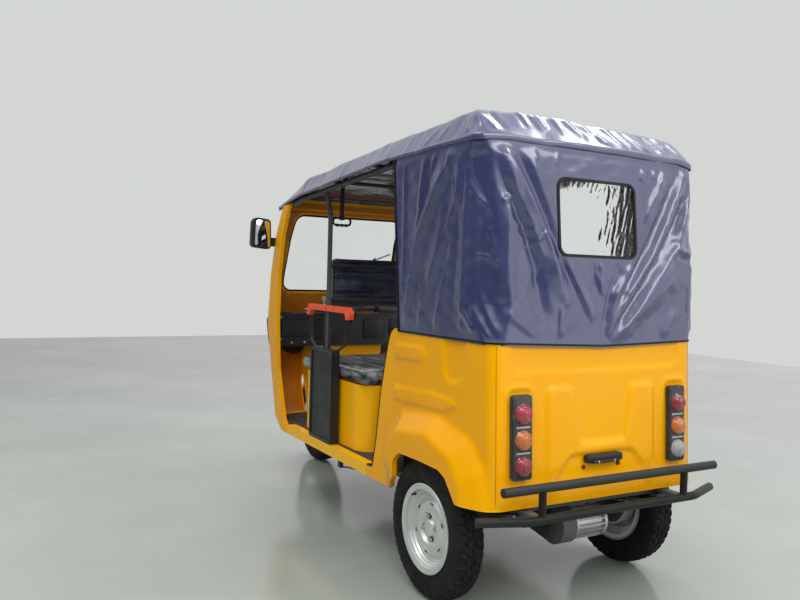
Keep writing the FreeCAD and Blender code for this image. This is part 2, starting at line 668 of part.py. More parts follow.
# header under the front edge of the canopy: across and height, then its bowed plan
front_row = ROOF[-1]
header_edge = (front_row[1] - s.roof_thick - 20, NOSE[-1][0] - 10)
header_line = [header_edge,
               (front_row[3] - s.roof_thick, front_row[4] - s.roof_thick - s.seat_gap),
               (front_row[5] - s.roof_thick, front_row[6] - s.roof_thick - s.seat_gap)]
header_line += [(-x, z) for x, z in reversed(header_line)]
header_back = -front_row[0] - 12
header_tip = NOSE[-1][2] - 1
header_corner = header_tip - 38
header = xz_prism([(x, z, 0) for x, z in header_line], -header_tip - 1, -header_back)
header_ends = [Vector(side * header_edge[0], -header_corner, 0) for side in (-1, 1)]
header_rear = [Vector(v.x, -header_back, 0) for v in header_ends]
header_plan = Part.Wire([Part.Arc(header_ends[0], Vector(0, -header_tip, 0), header_ends[1]).toShape(),
                         Part.LineSegment(header_ends[1], header_rear[1]).toShape(),
                         Part.LineSegment(header_rear[1], header_rear[0]).toShape(),
                         Part.LineSegment(header_rear[0], header_ends[0]).toShape()])
header = header.common(Part.Face(header_plan).extrude(Vector(0, 0, 2 * header_line[2][1])))
upper = upper.fuse(header)
node("windscreen_frame", fixed("windscreen_frame_shape", upper))

glass_inset = (s.panel_wall - s.glass_thick) / 2
pane = nose_block(glass_inset, 1).cut(nose_block(glass_inset + s.glass_thick, 2))
gap = s.seat_gap
pane_outline = [(x - math.copysign(gap, x), z + (gap if z < s.screen_high else -gap), r - gap)
                for x, z, r in screen]
pane = pane.common(xz_prism(pane_outline, nose_near, nose_far))
node("windscreen_glass", fixed("windscreen_glass_shape", pane))

# Floor with its step up over the axle
floor_half = "half_wide - sill_wide - seat_gap"
housing_in = "rear_track / 2 - tyre_wide / 2 - wheel_gap"
floor_low = "floor_high - floor_thick"
floor_end = "rear_back - rear_lean - panel_wall - seat_gap"
floor_flat = pad("floor_flat", "YZ_Plane",
                 (("-sill_front - 1", floor_low), ("-floor_step_at", floor_low),
                  ("-floor_step_at", "floor_high"), ("-sill_front - 1", "floor_high")),
                 "2 * (%s)" % floor_half)
# the front of the floor follows the nose and is notched for the front wheel
tunnel_in = s.tunnel_wide - 25
floor_tip = s.wheelbase - 245
nose_floor_rear = s.sill_front + 60
floor_nose = nose_block(s.panel_wall + s.seat_gap, 0).common(
    Part.makeBox(far, floor_tip - nose_floor_rear, s.floor_thick,
                 Vector(-far / 2, -floor_tip, s.floor_high - s.floor_thick)))
floor_nose = floor_nose.cut(Part.makeBox(2 * tunnel_in, 400, 100, Vector(-tunnel_in, -s.floor_front - 400,
                                                                         s.floor_high - 50)))
nose_floor_half = s.half_wide - s.panel_wall - s.seat_gap
floor_bridge = Part.makeBox(2 * nose_floor_half, nose_floor_rear + 10 - s.sill_front, s.floor_thick,
                            Vector(-nose_floor_half, -nose_floor_rear - 10, s.floor_high - s.floor_thick))
floor_nose = fixed("floor_nose", floor_nose.fuse(floor_bridge))
floor_raised = pad("floor_raised", "YZ_Plane",
                   (("-floor_step_at - floor_thick", floor_low),
                    ("-floor_step_at", floor_low),
                    ("-floor_step_at", floor_low + " + rear_floor_up"),
                    (floor_end, floor_low + " + rear_floor_up"),
                    (floor_end, "floor_high + rear_floor_up"),
                    ("-floor_step_at - floor_thick", "floor_high + rear_floor_up")),
                   "2 * (%s - 2 * seat_gap)" % housing_in)
node("floor_pan", fuse("floor_joined", [floor_flat, floor_raised, floor_nose]))

# Inside the nose: dashboard and the tunnel over the front wheel
inner_nose = nose_block(s.panel_wall + s.seat_gap)
dash_low = 790
dash_high = 985
dash = inner_nose.common(Part.makeBox(far, s.dash_deep, dash_high - dash_low,
                                      Vector(-far / 2, -s.dash_rear - s.dash_deep, dash_low)))
dash = dash.cut(Part.makeCylinder(s.stem_radius + 22, s.stem_top, steer_foot, lean))
node("dashboard", fixed("dashboard_shape", dash))

tunnel_wall = 8
tunnel_long = 400
tunnel_block = Part.makeBox(2 * (tunnel_in + tunnel_wall), tunnel_long, dash_low - s.floor_high - 2 * s.seat_gap,
                            Vector(-tunnel_in - tunnel_wall, -s.floor_front + tunnel_wall - tunnel_long,
                                   s.floor_high + s.seat_gap))
tunnel_space = Part.makeBox(2 * tunnel_in, tunnel_long, dash_high,
                            Vector(-tunnel_in, -s.floor_front - tunnel_long, 0))
node("footwell_panel", fixed("footwell_shape", inner_nose.common(tunnel_block).cut(tunnel_space)))

# Middle bench: base, cushion and backrest, used from both sides
bench_y = (-s.bench_front, -s.bench_rear)


def plan_block(half, y_low, y_high, z_low, z_high, radius):
    points = [(half, y_low, z_low), (half, y_high, z_low), (-half, y_high, z_low), (-half, y_low, z_low)]
    return prism(points, [radius] * 4, Vector(0, 0, z_high - z_low))


wall = 8
base = plan_block(s.bench_half, *bench_y, s.floor_high + s.seat_gap, s.bench_high, s.bench_corner)
space = plan_block(s.bench_half - wall, bench_y[0] + wall, bench_y[1] - wall, s.floor_high - 1,
                   s.bench_high - wall, s.bench_corner - wall)
node("middle_bench_base", fixed("middle_bench_shape", base.cut(space)))
over = s.cushion_over
cushion_low = s.bench_high + s.seat_gap
cushion = plan_block(s.bench_half + over, bench_y[0] - over, bench_y[1] + over, cushion_low,
                     cushion_low + s.cushion_tall, s.bench_corner + over)
node("middle_bench_cushion", fixed("middle_cushion_shape", cushion))
node("battery_pack", box("battery", ("-bench_half + 90", "-bench_front + 80", "floor_high + seat_gap"),
                         ("bench_half - 90", "-bench_rear - 80", "bench_high - 90")), shift=False)
bind(nodes[-1], "Placement.Base.y", "axle_back - bench_front + 80")
node("middle_backrest", box("backrest", ("-middle_back_half",
                                         "-pole_at - bow_radius - seat_gap - middle_back_thick",
                                         "middle_back_low"),
                            ("middle_back_half", "-pole_at - bow_radius - seat_gap",
                             "middle_back_high")), shift=False)
bind(nodes[-1], "Placement.Base.y", "axle_back - pole_at - bow_radius - seat_gap - middle_back_thick")

# Rear bench over the axle
housing_top = "tyre_radius + tyre_radius + wheel_gap + flare_wall + seat_gap"
rear_half = "half_wide - panel_wall - 4"
rear_floor = "floor_high + rear_floor_up + seat_gap"
base = [box("rear_base", ("-(%s) + seat_gap" % housing_in, "-rear_bench_front", rear_floor),
            ("%s - seat_gap" % housing_in, "rear_bench_back", "rear_bench_high")),
        box("rear_shelf", ("-(%s)" % rear_half, "-rear_bench_front", housing_top),
            (rear_half, "rear_bench_back", "rear_bench_high"))]
node("rear_bench_base", fuse("rear_bench_joined", base))
rear_seat = s.rear_bench_high + s.seat_gap
rear_x = s.half_wide - s.panel_wall - 4
node("rear_bench_cushion",
     fixed("rear_cushion_shape", plan_block(rear_x, -s.rear_bench_front - 25, s.rear_bench_back - 95,
                                            rear_seat, rear_seat + s.cushion_tall, 40)))
back_foot = s.rear_bench_back - 94
BACK = ((back_foot, rear_seat, 0), (back_foot + s.rear_back_thick, rear_seat, 0),
        (back_foot + s.rear_back_thick + 45, s.rear_back_high, 25), (back_foot + 45, s.rear_back_high, 25))
node("rear_backrest", fixed("rear_backrest_shape", yz_prism(BACK, -s.half_wide + 60, s.half_wide - 60)))

# Canopy curtains: sides and back in one, with the rear window cut out
curtain_end = ROOF[0][2]
curtain_top = curtain_end - s.seat_gap
curtain_low = s.seam_high + s.seat_gap


def curtain_plan(inset, z, corner=s.rear_corner):
    share = (z - s.seam_high) / (curtain_end - s.seam_high)
    half = s.half_wide + (s.canopy_half - s.half_wide) * share - inset
    back = s.rear_back - s.rear_lean + (s.canopy_back_at - s.rear_back + s.rear_lean) * share - inset
    start = -s.curtain_front - (1 if inset else 0)
    points = [Vector(half, start, z), Vector(half, back, z), Vector(-half, back, z), Vector(-half, start, z)]
    radius = corner - inset
    return round_corners(points, [0, radius, radius, 0])


# the cloth is drawn across the rear corners: height and corner radius
DRAWN = ((curtain_low, s.rear_corner), (1080, 100), (1600, 80), (curtain_top, s.rear_corner))
curtain = loft([curtain_plan(0, z, corner) for z, corner in DRAWN])
hollow_rows = [list(row) for row in DRAWN]
hollow_rows[0][0] -= 1
hollow_rows[-1][0] += 1
curtain = curtain.cut(loft([curtain_plan(s.roof_thick, z, corner) for z, corner in hollow_rows]))
window = ((-s.window_half, s.window_low, s.window_corner), (s.window_half, s.window_low, s.window_corner),
          (s.window_half, s.window_high, s.window_corner), (-s.window_half, s.window_high, s.window_corner))
node("canopy_curtains", fixed("curtain_shape", curtain.cut(xz_prism(window, 100, 500))))
film_in = (s.roof_thick - s.film_thick) / 2
film = loft([curtain_plan(film_in, curtain_low), curtain_plan(film_in, curtain_top)])
film = film.cut(loft([curtain_plan(film_in + s.film_thick, curtain_low - 1),
                      curtain_plan(film_in + s.film_thick, curtain_top + 1)]))
film_outline = [(x - math.copysign(gap, x), z + (gap if z < s.window_high else -gap), r - gap)
                for x, z, r in window]
node("rear_window", fixed("rear_window_shape", film.common(xz_prism(film_outline, 100, 500))))

# Canopy frame: side rails, bows under the roof, rear posts and middle poles
tube_gap = s.roof_thick + s.seat_gap + s.bow_radius
BOWS = (195, -411, -900, -s.front_bow)
frame = []


def bow_points(y):
    edge_x = roof_at(y, 1) - s.roof_thick - s.frame_tube - 8
    edge_z = roof_at(y, 2) - 14
    shoulder = (roof_at(y, 3) - tube_gap - 4, y, roof_at(y, 4) - tube_gap - 4)
    flat = (roof_at(y, 5) - 14, y, roof_at(y, 6) - tube_gap)
    half = [(edge_x, y, edge_z), shoulder, flat]
    return half + [(-x, y2, z) for x, y2, z in reversed(half)]


for y in BOWS:
    frame.append(tube(bow_points(y), s.bow_radius, 20))
post_x = s.half_wide - s.panel_wall - s.seat_gap - s.frame_tube
post_foot = s.seam_high - 180
rail_radius = s.frame_tube + 1.5
for side in (-1, 1):
    rail = [bow_points(y)[0] for y in (BOWS[0], BOWS[1], BOWS[-1])]
    rail_end = -s.roof_front + 200
    rail.append((post_x - 2, rail_end, roof_at(rail_end, 2) - 14))
    rail.insert(0, (rail[0][0], 255, rail[0][2]))
    frame.append(tube([(side * x, y, z) for x, y, z in rail], rail_radius, 60))
    for y in (235, -283):
        top = bow_points(min(y, 195))[0]
        frame.append(tube([(side * post_x, y, post_foot), (side * post_x, y, s.seam_high),
                           (side * top[0], y, top[2])], s.frame_tube, 60))
    pole = bow_points(-s.pole_at)[0]
    frame.append(tube([(side * post_x, -s.pole_at, s.sill_high + s.seat_gap),
                       (side * post_x, -s.pole_at, pole[2] - 120),
                       (side * pole[0], -s.pole_at, pole[2])], s.frame_tube, 60))
for z in (s.middle_back_low + 35, s.middle_back_high - 35):
    frame.append(Part.makeCylinder(s.bow_radius, 2 * post_x, Vector(-post_x, -s.pole_at, z), X_AXIS))
node("canopy_frame", fixed("canopy_frame_shape", frame[0].fuse(frame[1:])))

# Side guards at the middle poles: a box on the sill with two loops and a grip on top
guard_in = s.half_wide - s.side_guard_wide
guard_low = s.sill_high + s.seat_gap
GUARD = (
    (-s.side_guard_front, guard_low, 12),
    (-s.side_guard_rear, guard_low, 12),
    (-s.side_guard_rear, s.side_guard_high, 25),
    (-s.side_guard_front, s.side_guard_high, 25),
)
guard = yz_prism(GUARD, guard_in, s.half_wide)
recess = [(y + math.copysign(18, -s.pole_at - y), z + (18 if z < 600 else -18), 8) for y, z, r in GUARD]
guard = guard.cut(yz_prism(recess, s.half_wide - 5, s.half_wide + 1))
pole_bore = Part.makeCylinder(s.frame_tube + s.seat_gap, 3000, Vector(post_x, -s.pole_at, 0))
loop_x = guard_in + 2 * s.loop_radius
grip_low = 1004
grip_high = 1058
# outer line of the loops: along the vehicle and height, from the box's front end over the top
LOOP = ((-1225, 835), (-1303, 880), (-1320, 1050), (-842, 1050), (-885, 880), (-990, 835))
loops = [tube([(loop_x, y, z) for y, z in LOOP], s.loop_radius, 30)]
for y in (-1125, -1069):
    loops.append(tube([(loop_x, y, s.side_guard_high - 10), (loop_x, y, 1050)], s.loop_radius, 1))
loops = loops[0].fuse(loops[1:])
grip_box = Part.makeBox(100, 600, grip_high - grip_low - 8, Vector(loop_x - 50, -1400, grip_low))
GRIP = (
    (-1342, grip_low, 4), (-1334, 1040, 22), (-1320, grip_high + 4, 14), (-845, grip_high + 4, 26),
    (-818, 1035, 20), (-822, grip_low, 4), (-862, grip_low, 4), (-868, 1034, 20), (-1292, 1034, 20),
    (-1308, grip_low, 4),
)
grip = yz_prism(GRIP, loop_x - 13, loop_x + 13).cut(pole_bore)
arms = loops.common(Part.makeBox(far, far, grip_low + 25, Vector(-far / 2, -far / 2, 0))).cut(grip)
guard = guard.fuse(arms).cut([pole_bore, grip]).removeSplitter()
pair("side_guard", fixed("side_guard_shape", guard))
grips = [grip, grip.mirror(ORIGIN, X_AXIS)]
node("guard_grips", group("grips_both", [fixed("grip", grips[0]), fixed("grip_mirror", grips[1])]))

# Hanging handles under the pole's bow, one each side
handles = []
for side in (-1, 1):
    y = BOWS[-1]
    x = side * 250
    top = roof_at(y, 6) - tube_gap - s.bow_radius - s.seat_gap
    strap = Part.makeBox(22, 6, top - 1535, Vector(x - 11, y - 3, 1535))
    ring = tube([(x - 4, y, 1528), (x - 52, y, 1528), (x - 52, y, 1490), (x + 52, y, 1490),
                 (x + 52, y, 1528), (x + 4, y, 1528)], 6, 17)
    knot = Part.makeBox(26, 14, 24, Vector(x - 13, y - 7, 1517))
    handles.append(fixed("handle", strap.fuse([ring, knot])))
node("hanging_handles", group("handles_both", handles))


def rear_face_at(z):
    """Outer rear face of the tub at a height."""
    return s.rear_back - s.rear_lean * (z - s.tub_low) / (s.seam_high - s.tub_low)


# Tail lamps: a housing with three domed lenses on each side
tilt = math.degrees(math.atan(s.rear_lean / (s.seam_high - s.tub_low)))
lamps = []
for side in (-1, 1):
    tall = s.lamp_high - s.lamp_low
    outline = [(-s.lamp_wide / 2, 0, 10), (s.lamp_wide / 2, 0, 10),
               (s.lamp_wide / 2, tall, 10), (-s.lamp_wide / 2, tall, 10)]
    lamp = xz_prism(outline, s.seat_gap, s.lamp_deep)
    for share in (0.2, 0.5, 0.8):
        lens = Part.makeCylinder(s.lens_radius, s.lens_deep * 0.4, Vector(0, s.lamp_deep - 1, tall * share), Y_AXIS)
        dome = Part.makeSphere(s.lens_radius * 1.35, Vector(0, s.lamp_deep - s.lens_radius * 0.82, tall * share))
        keep = Part.makeCylinder(s.lens_radius, s.lens_deep, Vector(0, s.lamp_deep - 1, tall * share), Y_AXIS)
        lamp = lamp.fuse([lens, dome.common(keep)])
    lamp.rotate(ORIGIN, X_AXIS, tilt)
    lamp.translate(Vector(side * s.lamp_x, rear_face_at(s.lamp_low), s.lamp_low))
    lamps.append(fixed("lamp", lamp))
node("tail_lamps", group("lamps_both", lamps))
plate_lamp = xz_prism([(-86, 563, 10), (86, 563, 10), (86, 592, 10), (-86, 592, 10)],
                      rear_face_at(563) + s.seat_gap, rear_face_at(563) + 34)
node("plate_lamp", fixed("plate_lamp_shape", plate_lamp))

# Rear bumper: a straight upper tube and a lower one bent forward, joined by posts
at = s.bumper_at
upper_bar = tube([(-s.bumper_half, at, s.bumper_high), (s.bumper_half, at, s.bumper_high)], s.bumper_radius, 1)
LOWER = ((-568, 396), (-400, 461), (400, 461), (568, 396))
lower_bar = tube([(x, y, s.bumper_low) for x, y in LOWER], s.bumper_radius, 60)
posts = [Part.makeCylinder(s.bumper_radius * 0.85, s.bumper_high - s.bumper_low,
                           Vector(side * s.bumper_post_x, at, s.bumper_low)) for side in (-1, 1)]
node("rear_bumper", fixed("rear_bumper_shape", upper_bar.fuse([lower_bar] + posts)))

# Rear axle: tube, gearbox and the drums' back plates
drum_x = s.rear_track / 2 - s.drum_wide - 8
axle_z = s.tyre_radius
axle = Part.makeCylinder(s.axle_tube_radius, 2 * drum_x - 2 * s.seat_gap,
                         Vector(-drum_x + s.seat_gap, 0, axle_z), X_AXIS)
motor_z = axle_z - s.motor_drop
gear_x = -s.gearbox_wide
gears = [Part.makeCylinder(78, s.gearbox_wide, Vector(gear_x, 0, axle_z), X_AXIS),
         Part.makeCylinder(74, s.gearbox_wide, Vector(gear_x, s.motor_back, motor_z), X_AXIS),
         Part.makeCylinder(58, 60, Vector(0, 0, axle_z), X_AXIS)]
link = [Vector(gear_x, 0, axle_z + 78), Vector(gear_x, s.motor_back, motor_z + 74),
        Vector(gear_x, s.motor_back, motor_z - 74), Vector(gear_x, 0, axle_z - 78)]
gears.append(Part.Face(Part.makePolygon(link + link[:1])).extrude(Vector(s.gearbox_wide, 0, 0)))
plates = [Part.makeCylinder(s.drum_radius * 0.9, 5, Vector(x, 0, axle_z), X_AXIS)
          for x in (drum_x - 5 - s.seat_gap, -drum_x + s.seat_gap)]
pads = [Part.makeBox(s.spring_wide, 90, 12, Vector(side * s.rail_x - s.spring_wide / 2, -45, axle_z + 26))
        for side in (-1, 1)]
stubs = [Part.makeCylinder(14, s.rear_track / 2 - 4 - drum_x + s.seat_gap,
                           Vector(drum_x - s.seat_gap - 1 if side > 0 else -s.rear_track / 2 + 5, 0, axle_z),
                           X_AXIS) for side in (-1, 1)]
node("rear_axle", fixed("rear_axle_shape", axle.fuse(gears + plates + pads + stubs)))

# Drive motor: a finned cylinder beside the gearbox
motor_x = gear_x - s.seat_gap - s.motor_long
core = Part.makeCylinder(s.motor_radius - 12, s.motor_long, Vector(motor_x, s.motor_back, motor_z), X_AXIS)
fins = []
FIN_COUNT = 20
for i in range(FIN_COUNT):
    fin = Part.makeBox(s.motor_long - 26, 5, s.motor_radius,
                       Vector(motor_x + 13, s.motor_back - 2.5, motor_z))
    fin.rotate(Vector(0, s.motor_back, motor_z), X_AXIS, 360 / FIN_COUNT * i)
    fins.append(fin)
caps = [Part.makeCylinder(s.motor_radius, 13, Vector(x, s.motor_back, motor_z), X_AXIS)
        for x in (motor_x, motor_x + s.motor_long - 13)]
node("drive_motor", fixed("drive_motor_shape", core.fuse(fins + caps)))

# Leaf springs between the rails and the axle, with their hangers
spring_low = axle_z + 26 + 12 + s.seat_gap
eye_z = s.floor_high - s.floor_thick - s.seat_gap - s.rail_tall + s.rear_floor_up - 30
springs = []
LEAVES = (1.0, 0.72, 0.46)
for side in (-1, 1):
    x = side * s.rail_x - s.spring_wide / 2
    parts = []
    for i, share in enumerate(LEAVES):
        low = spring_low + s.leaf_thick * (len(LEAVES) - 1 - i)
        reach = s.spring_half * share
        rise = (eye_z - spring_low - s.leaf_thick * (len(LEAVES) - 1)) * share ** 2
        over = s.leaf_thick
        under = Part.Arc(Vector(x, -reach, low + rise), Vector(x, 0, low), Vector(x, reach, low + rise))
        top = Part.Arc(Vector(x, reach, low + rise + over), Vector(x, 0, low + over),
                       Vector(x, -reach, low + rise + over))
        ends = [Part.LineSegment(Vector(x, reach, low + rise), Vector(x, reach, low + rise + over)),
                Part.LineSegment(Vector(x, -reach, low + rise + over), Vector(x, -reach, low + rise))]
        wire = Part.Wire([under.toShape(), ends[0].toShape(), top.toShape(), ends[1].toShape()])
        parts.append(Part.Face(wire).extrude(Vector(s.spring_wide, 0, 0)))
    rail_under = s.floor_high - s.floor_thick - 2 * s.seat_gap - s.rail_tall
    for y in (-s.spring_half, s.spring_half):
        eye = Part.makeCylinder(15, s.spring_wide, Vector(x, y, eye_z + 4), X_AXIS)
        plate = Part.makeBox(s.spring_wide, 34, rail_under + s.rear_floor_up - eye_z,
                             Vector(x, y - 17, eye_z))
        parts += [eye, plate]
    springs.append(fixed("spring", parts[0].fuse(parts[1:])))
node("leaf_springs", group("springs_both", springs))

# Shock absorbers from the axle's pads up to the rails, in front of the axle
shocks = []
for side in (-1, 1):
    x = side * (s.rail_x - s.rail_wide / 2 - 24)
    foot = Vector(x, -20, axle_z + s.axle_tube_radius + 3)
    head_at = Vector(x, -120, s.floor_high - s.floor_thick + s.rear_floor_up - 13 - s.seat_gap)
    along = head_at - foot
    body = Part.makeCylinder(17, along.Length * 0.62, foot, along)
    rod = Part.makeCylinder(8, along.Length, foot, along)
    eyes = [Part.makeCylinder(13, 30, head_at - Vector(15, 0, 0), X_AXIS)]
    shocks.append(fixed("shock", body.fuse([rod] + eyes)))
node("shock_absorbers", group("shocks_both", shocks))

# Front lamps, mirrors and wiper
front_lamps = []
for side in (-1, 1):
    body = Part.makeCylinder(s.headlamp_radius, lamp_back - lamp_face,
                             Vector(side * s.headlamp_x, lamp_face, s.headlamp_high), Y_AXIS)
    front_lamps.append(fixed("headlamp", body))
node("headlamps", group("headlamps_both", front_lamps))

mirrors = []
for side in (-1, 1):
    low_x = s.mirror_x - s.mirror_wide / 2
    high_x = s.mirror_x + s.mirror_wide / 2
    low_z = s.mirror_high - s.mirror_tall / 2
    high_z = s.mirror_high + s.mirror_tall / 2
    outline = [(low_x, low_z, 24), (high_x, low_z + 12, 24), (high_x - 6, high_z, 30), (low_x + 6, high_z - 10, 24)]
    body = xz_prism(outline, -s.mirror_at - s.mirror_deep / 2, -s.mirror_at + s.mirror_deep / 2)
    mount_z = low_z + 30
    arm = Part.makeBox(low_x - s.half_wide + 42, 26, 50, Vector(s.half_wide - 34, -s.mirror_at - 13, mount_z - 10))
    arm = arm.cut(nose_block(-s.seat_gap, 1))
    body = body.fuse(max(arm.Solids, key=lambda solid: solid.CenterOfMass.x))
    if side < 0:
        body = body.mirror(ORIGIN, X_AXIS)
    mirrors.append(fixed("mirror", body))
node("mirrors", group("mirrors_both", mirrors))

# Wheels: tyre and rim share one outline each, the rims face outwards
half_rim = "rim_wide / 2"
tyre_outline = (
    ("-%s" % half_rim, "rim_seat_radius + seat_gap"),
    ("-%s + 2" % half_rim, "rim_flange_radius - 2"),
    ("-tyre_wide / 2 + 4", "rim_flange_radius + 12"),
    ("-tyre_wide / 2", "rim_flange_radius + 40"),
    ("-tyre_wide / 2 + 2", "tyre_radius - 30"),
    ("-tyre_wide / 2 + 10", "tyre_radius - 9"),
    ("-tyre_wide / 2 + 24", "tyre_radius - 2"),
    ("0", "tyre_radius"),
    ("tyre_wide / 2 - 24", "tyre_radius - 2"),
    ("tyre_wide / 2 - 10", "tyre_radius - 9"),
    ("tyre_wide / 2 - 2", "tyre_radius - 30"),
    ("tyre_wide / 2", "rim_flange_radius + 40"),
    ("tyre_wide / 2 - 4", "rim_flange_radius + 12"),
    ("%s - 2" % half_rim, "rim_flange_radius - 2"),
    (half_rim, "rim_seat_radius + seat_gap"),
)


def tyre(name):
    return turned(name, tyre_outline)


# rim: across, radius, seen from the outside at positive across
RIM = (
    (-46, 167), (-46, 152), (-20, 150), (-12, 128), (10, 128), (18, 150), (46, 152), (46, 167),
    (52, 169), (52, 163), (50, 147), (22, 144), (14, 122), (14, 112), (30, 84), (34, 60), (20, 50), (20, 0),
    (14, 0), (14, 52), (27, 62), (23, 84), (7, 113), (-14, 122), (-24, 145), (-50, 147), (-52, 163), (-52, 169),
)


def rim():
    points = [Vector(x, r, 0) for x, r in RIM]
    face = Part.Face(Part.makePolygon(points + points[:1]))
    solid = face.revolve(ORIGIN, X_AXIS, 360)
    holes = []
    for i in range(10):
        hole = Part.makeCylinder(11, 60, Vector(-10, 98, 0), X_AXIS)
        hole.rotate(ORIGIN, X_AXIS, 36 * i)
        holes.append(hole)
    return solid.cut(holes)


def place_wheel(thing, x, y):
    bind(thing, "Placement.Base.x", x)
    bind(thing, "Placement.Base.y", "axle_back + " + y)
    bind(thing, "Placement.Base.z", "tyre_radius")


rear_rim = rim()
# the hub and the brake drum turn with the rim
drum_ring = Part.makeCylinder(s.drum_radius, s.drum_wide, Vector(-8 - s.drum_wide, 0, 0), X_AXIS)
drum_space = Part.makeCylinder(s.drum_radius - 6, s.drum_wide - 8, Vector(-8 - s.drum_wide, 0, 0), X_AXIS)
drum_piece = drum_ring.cut(drum_space)
neck_piece = Part.makeCylinder(45, 28, Vector(-9, 0, 0), X_AXIS)
stub_bore = Part.makeCylinder(14 + s.seat_gap, 200, Vector(-196, 0, 0), X_AXIS)
rear_rim = rear_rim.fuse([drum_piece, neck_piece]).cut(stub_bore)
for label, side in (("left", 1), ("right", -1)):
    made = node("rear_tyre_" + label, tyre("rear_tyre_" + label), shift=False)
    place_wheel(made, "%d * rear_track / 2" % side, "0")
    turned_rim = rear_rim.copy() if side > 0 else rear_rim.mirror(ORIGIN, X_AXIS)
    made = node("rear_rim_" + label, fixed("rear_rim_" + label, turned_rim), shift=False)
    place_wheel(made, "%d * rear_track / 2" % side, "0")
made = node("front_tyre", tyre("front_tyre"), shift=False)
place_wheel(made, "0", "-wheelbase")
axle_radius = 9
front_hub = Part.makeCylinder(38, 2 * (s.leg_x - s.leg_radius - 6), Vector(-(s.leg_x - s.leg_radius - 6), 0, 0), X_AXIS)
front_bore = Part.makeCylinder(axle_radius + s.seat_gap, 400, Vector(-200, 0, 0), X_AXIS)
front_rim = rim().fuse(front_hub).cut(front_bore)
made = node("front_rim", fixed("front_rim_shape", front_rim), shift=False)
place_wheel(made, "0", "-wheelbase")

# Steering: fork, stem, mudguard and handlebar turn together on the raked axis
fork = []
leg_foot = front_axle - lean * 14
for side in (-1, 1):
    foot = leg_foot + X_AXIS * side * s.leg_x
    fork.append(Part.makeCylinder(s.leg_radius, s.crown_up + 14 + s.crown_tall, foot, lean))
fork.append(Part.makeCylinder(axle_radius, 2 * s.leg_x, front_axle - X_AXIS * s.leg_x, X_AXIS))
crown_shape = Part.makeBox(2 * (s.leg_x + s.leg_radius), 2 * s.leg_radius + s.fork_offset + 22, s.crown_tall)
crown_shape.translate(Vector(-s.leg_x - s.leg_radius, -s.leg_radius - s.fork_offset, 0))
crown_shape.rotate(ORIGIN, X_AXIS, -s.rake)
crown_shape.translate(on_stem(s.crown_up))
fork.append(crown_shape)
fork.append(Part.makeCylinder(s.stem_radius, s.stem_top - s.crown_up, on_stem(s.crown_up), lean))
node("front_fork", fixed("front_fork_shape", fork[0].fuse(fork[1:])))

guard_inner = s.tyre_radius + s.guard_gap
guard_half = s.leg_x - s.leg_radius - s.seat_gap - s.guard_wall
# mudguard's outline, turned through the arc it covers: across, radius
MUDGUARD = ((-guard_half, guard_inner - 28), (-guard_half, guard_inner - 6), (-guard_half + 14, guard_inner + 2),
            (guard_half - 14, guard_inner + 2), (guard_half, guard_inner - 6), (guard_half, guard_inner - 28))
outer_line = [Vector(x, 0, r + s.guard_wall) for x, r in MUDGUARD]
outer_line[0] = Vector(-guard_half - s.guard_wall, 0, guard_inner - 28)
outer_line[1] = Vector(-guard_half - s.guard_wall, 0, guard_inner - 4)
outer_line[-2] = Vector(guard_half + s.guard_wall, 0, guard_inner - 4)
outer_line[-1] = Vector(guard_half + s.guard_wall, 0, guard_inner - 28)
inner_line = [Vector(x, 0, r) for x, r in reversed(MUDGUARD)]
section = Part.Face(Part.makePolygon(outer_line + inner_line + outer_line[:1]))
section.rotate(ORIGIN, X_AXIS, 78)
mudguard = section.revolve(ORIGIN, X_AXIS, -150)
mudguard.translate(front_axle)
node("front_mudguard", fixed("front_mudguard_shape", mudguard))

bar_mid = on_stem(s.stem_top - s.bar_radius - 4)
BAR = ((-s.bar_half, 44, -6), (-110, 0, 0), (110, 0, 0), (s.bar_half, 44, -6))
line = [bar_mid + Vector(x, y, z) for x, y, z in BAR]
bar = tube(line, s.bar_radius, 50)
grips = []
for end, inner_end in ((line[0], line[1]), (line[-1], line[-2])):
    along = (inner_end - end).normalize()
    grips.append(Part.makeCylinder(s.bar_grip_radius, s.bar_grip_long, end, along))
clamp = Part.makeCylinder(s.stem_radius + 12, 46, bar_mid - lean * 30, lean)
panel_block = Part.makeBox(170, 70, 74, bar_mid + Vector(-85, -62, 4))
bar = bar.fuse(grips + [clamp, panel_block])
stem = Part.makeCylinder(s.stem_radius + s.seat_gap, 400, on_stem(s.stem_top - 400 + s.seat_gap), lean)
node("handlebar", fixed("handlebar_shape", bar.cut(stem)))

doc.recompute()
problems = []
for thing in doc.Objects:
    if "Invalid" in thing.State or "Error" in thing.State:
        problems.append("%s is %s" % (thing.Name, thing.State))
for thing in nodes:
    if thing.Shape.isNull() or not thing.Shape.isValid():
        problems.append("%s has no valid shape" % thing.Label)
if problems:
    raise RuntimeError("; ".join(problems))
os.makedirs("parts", exist_ok=True)
for thing in nodes:
    thing.Shape.exportStep("parts/%s.step" % thing.Label)
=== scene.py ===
import math

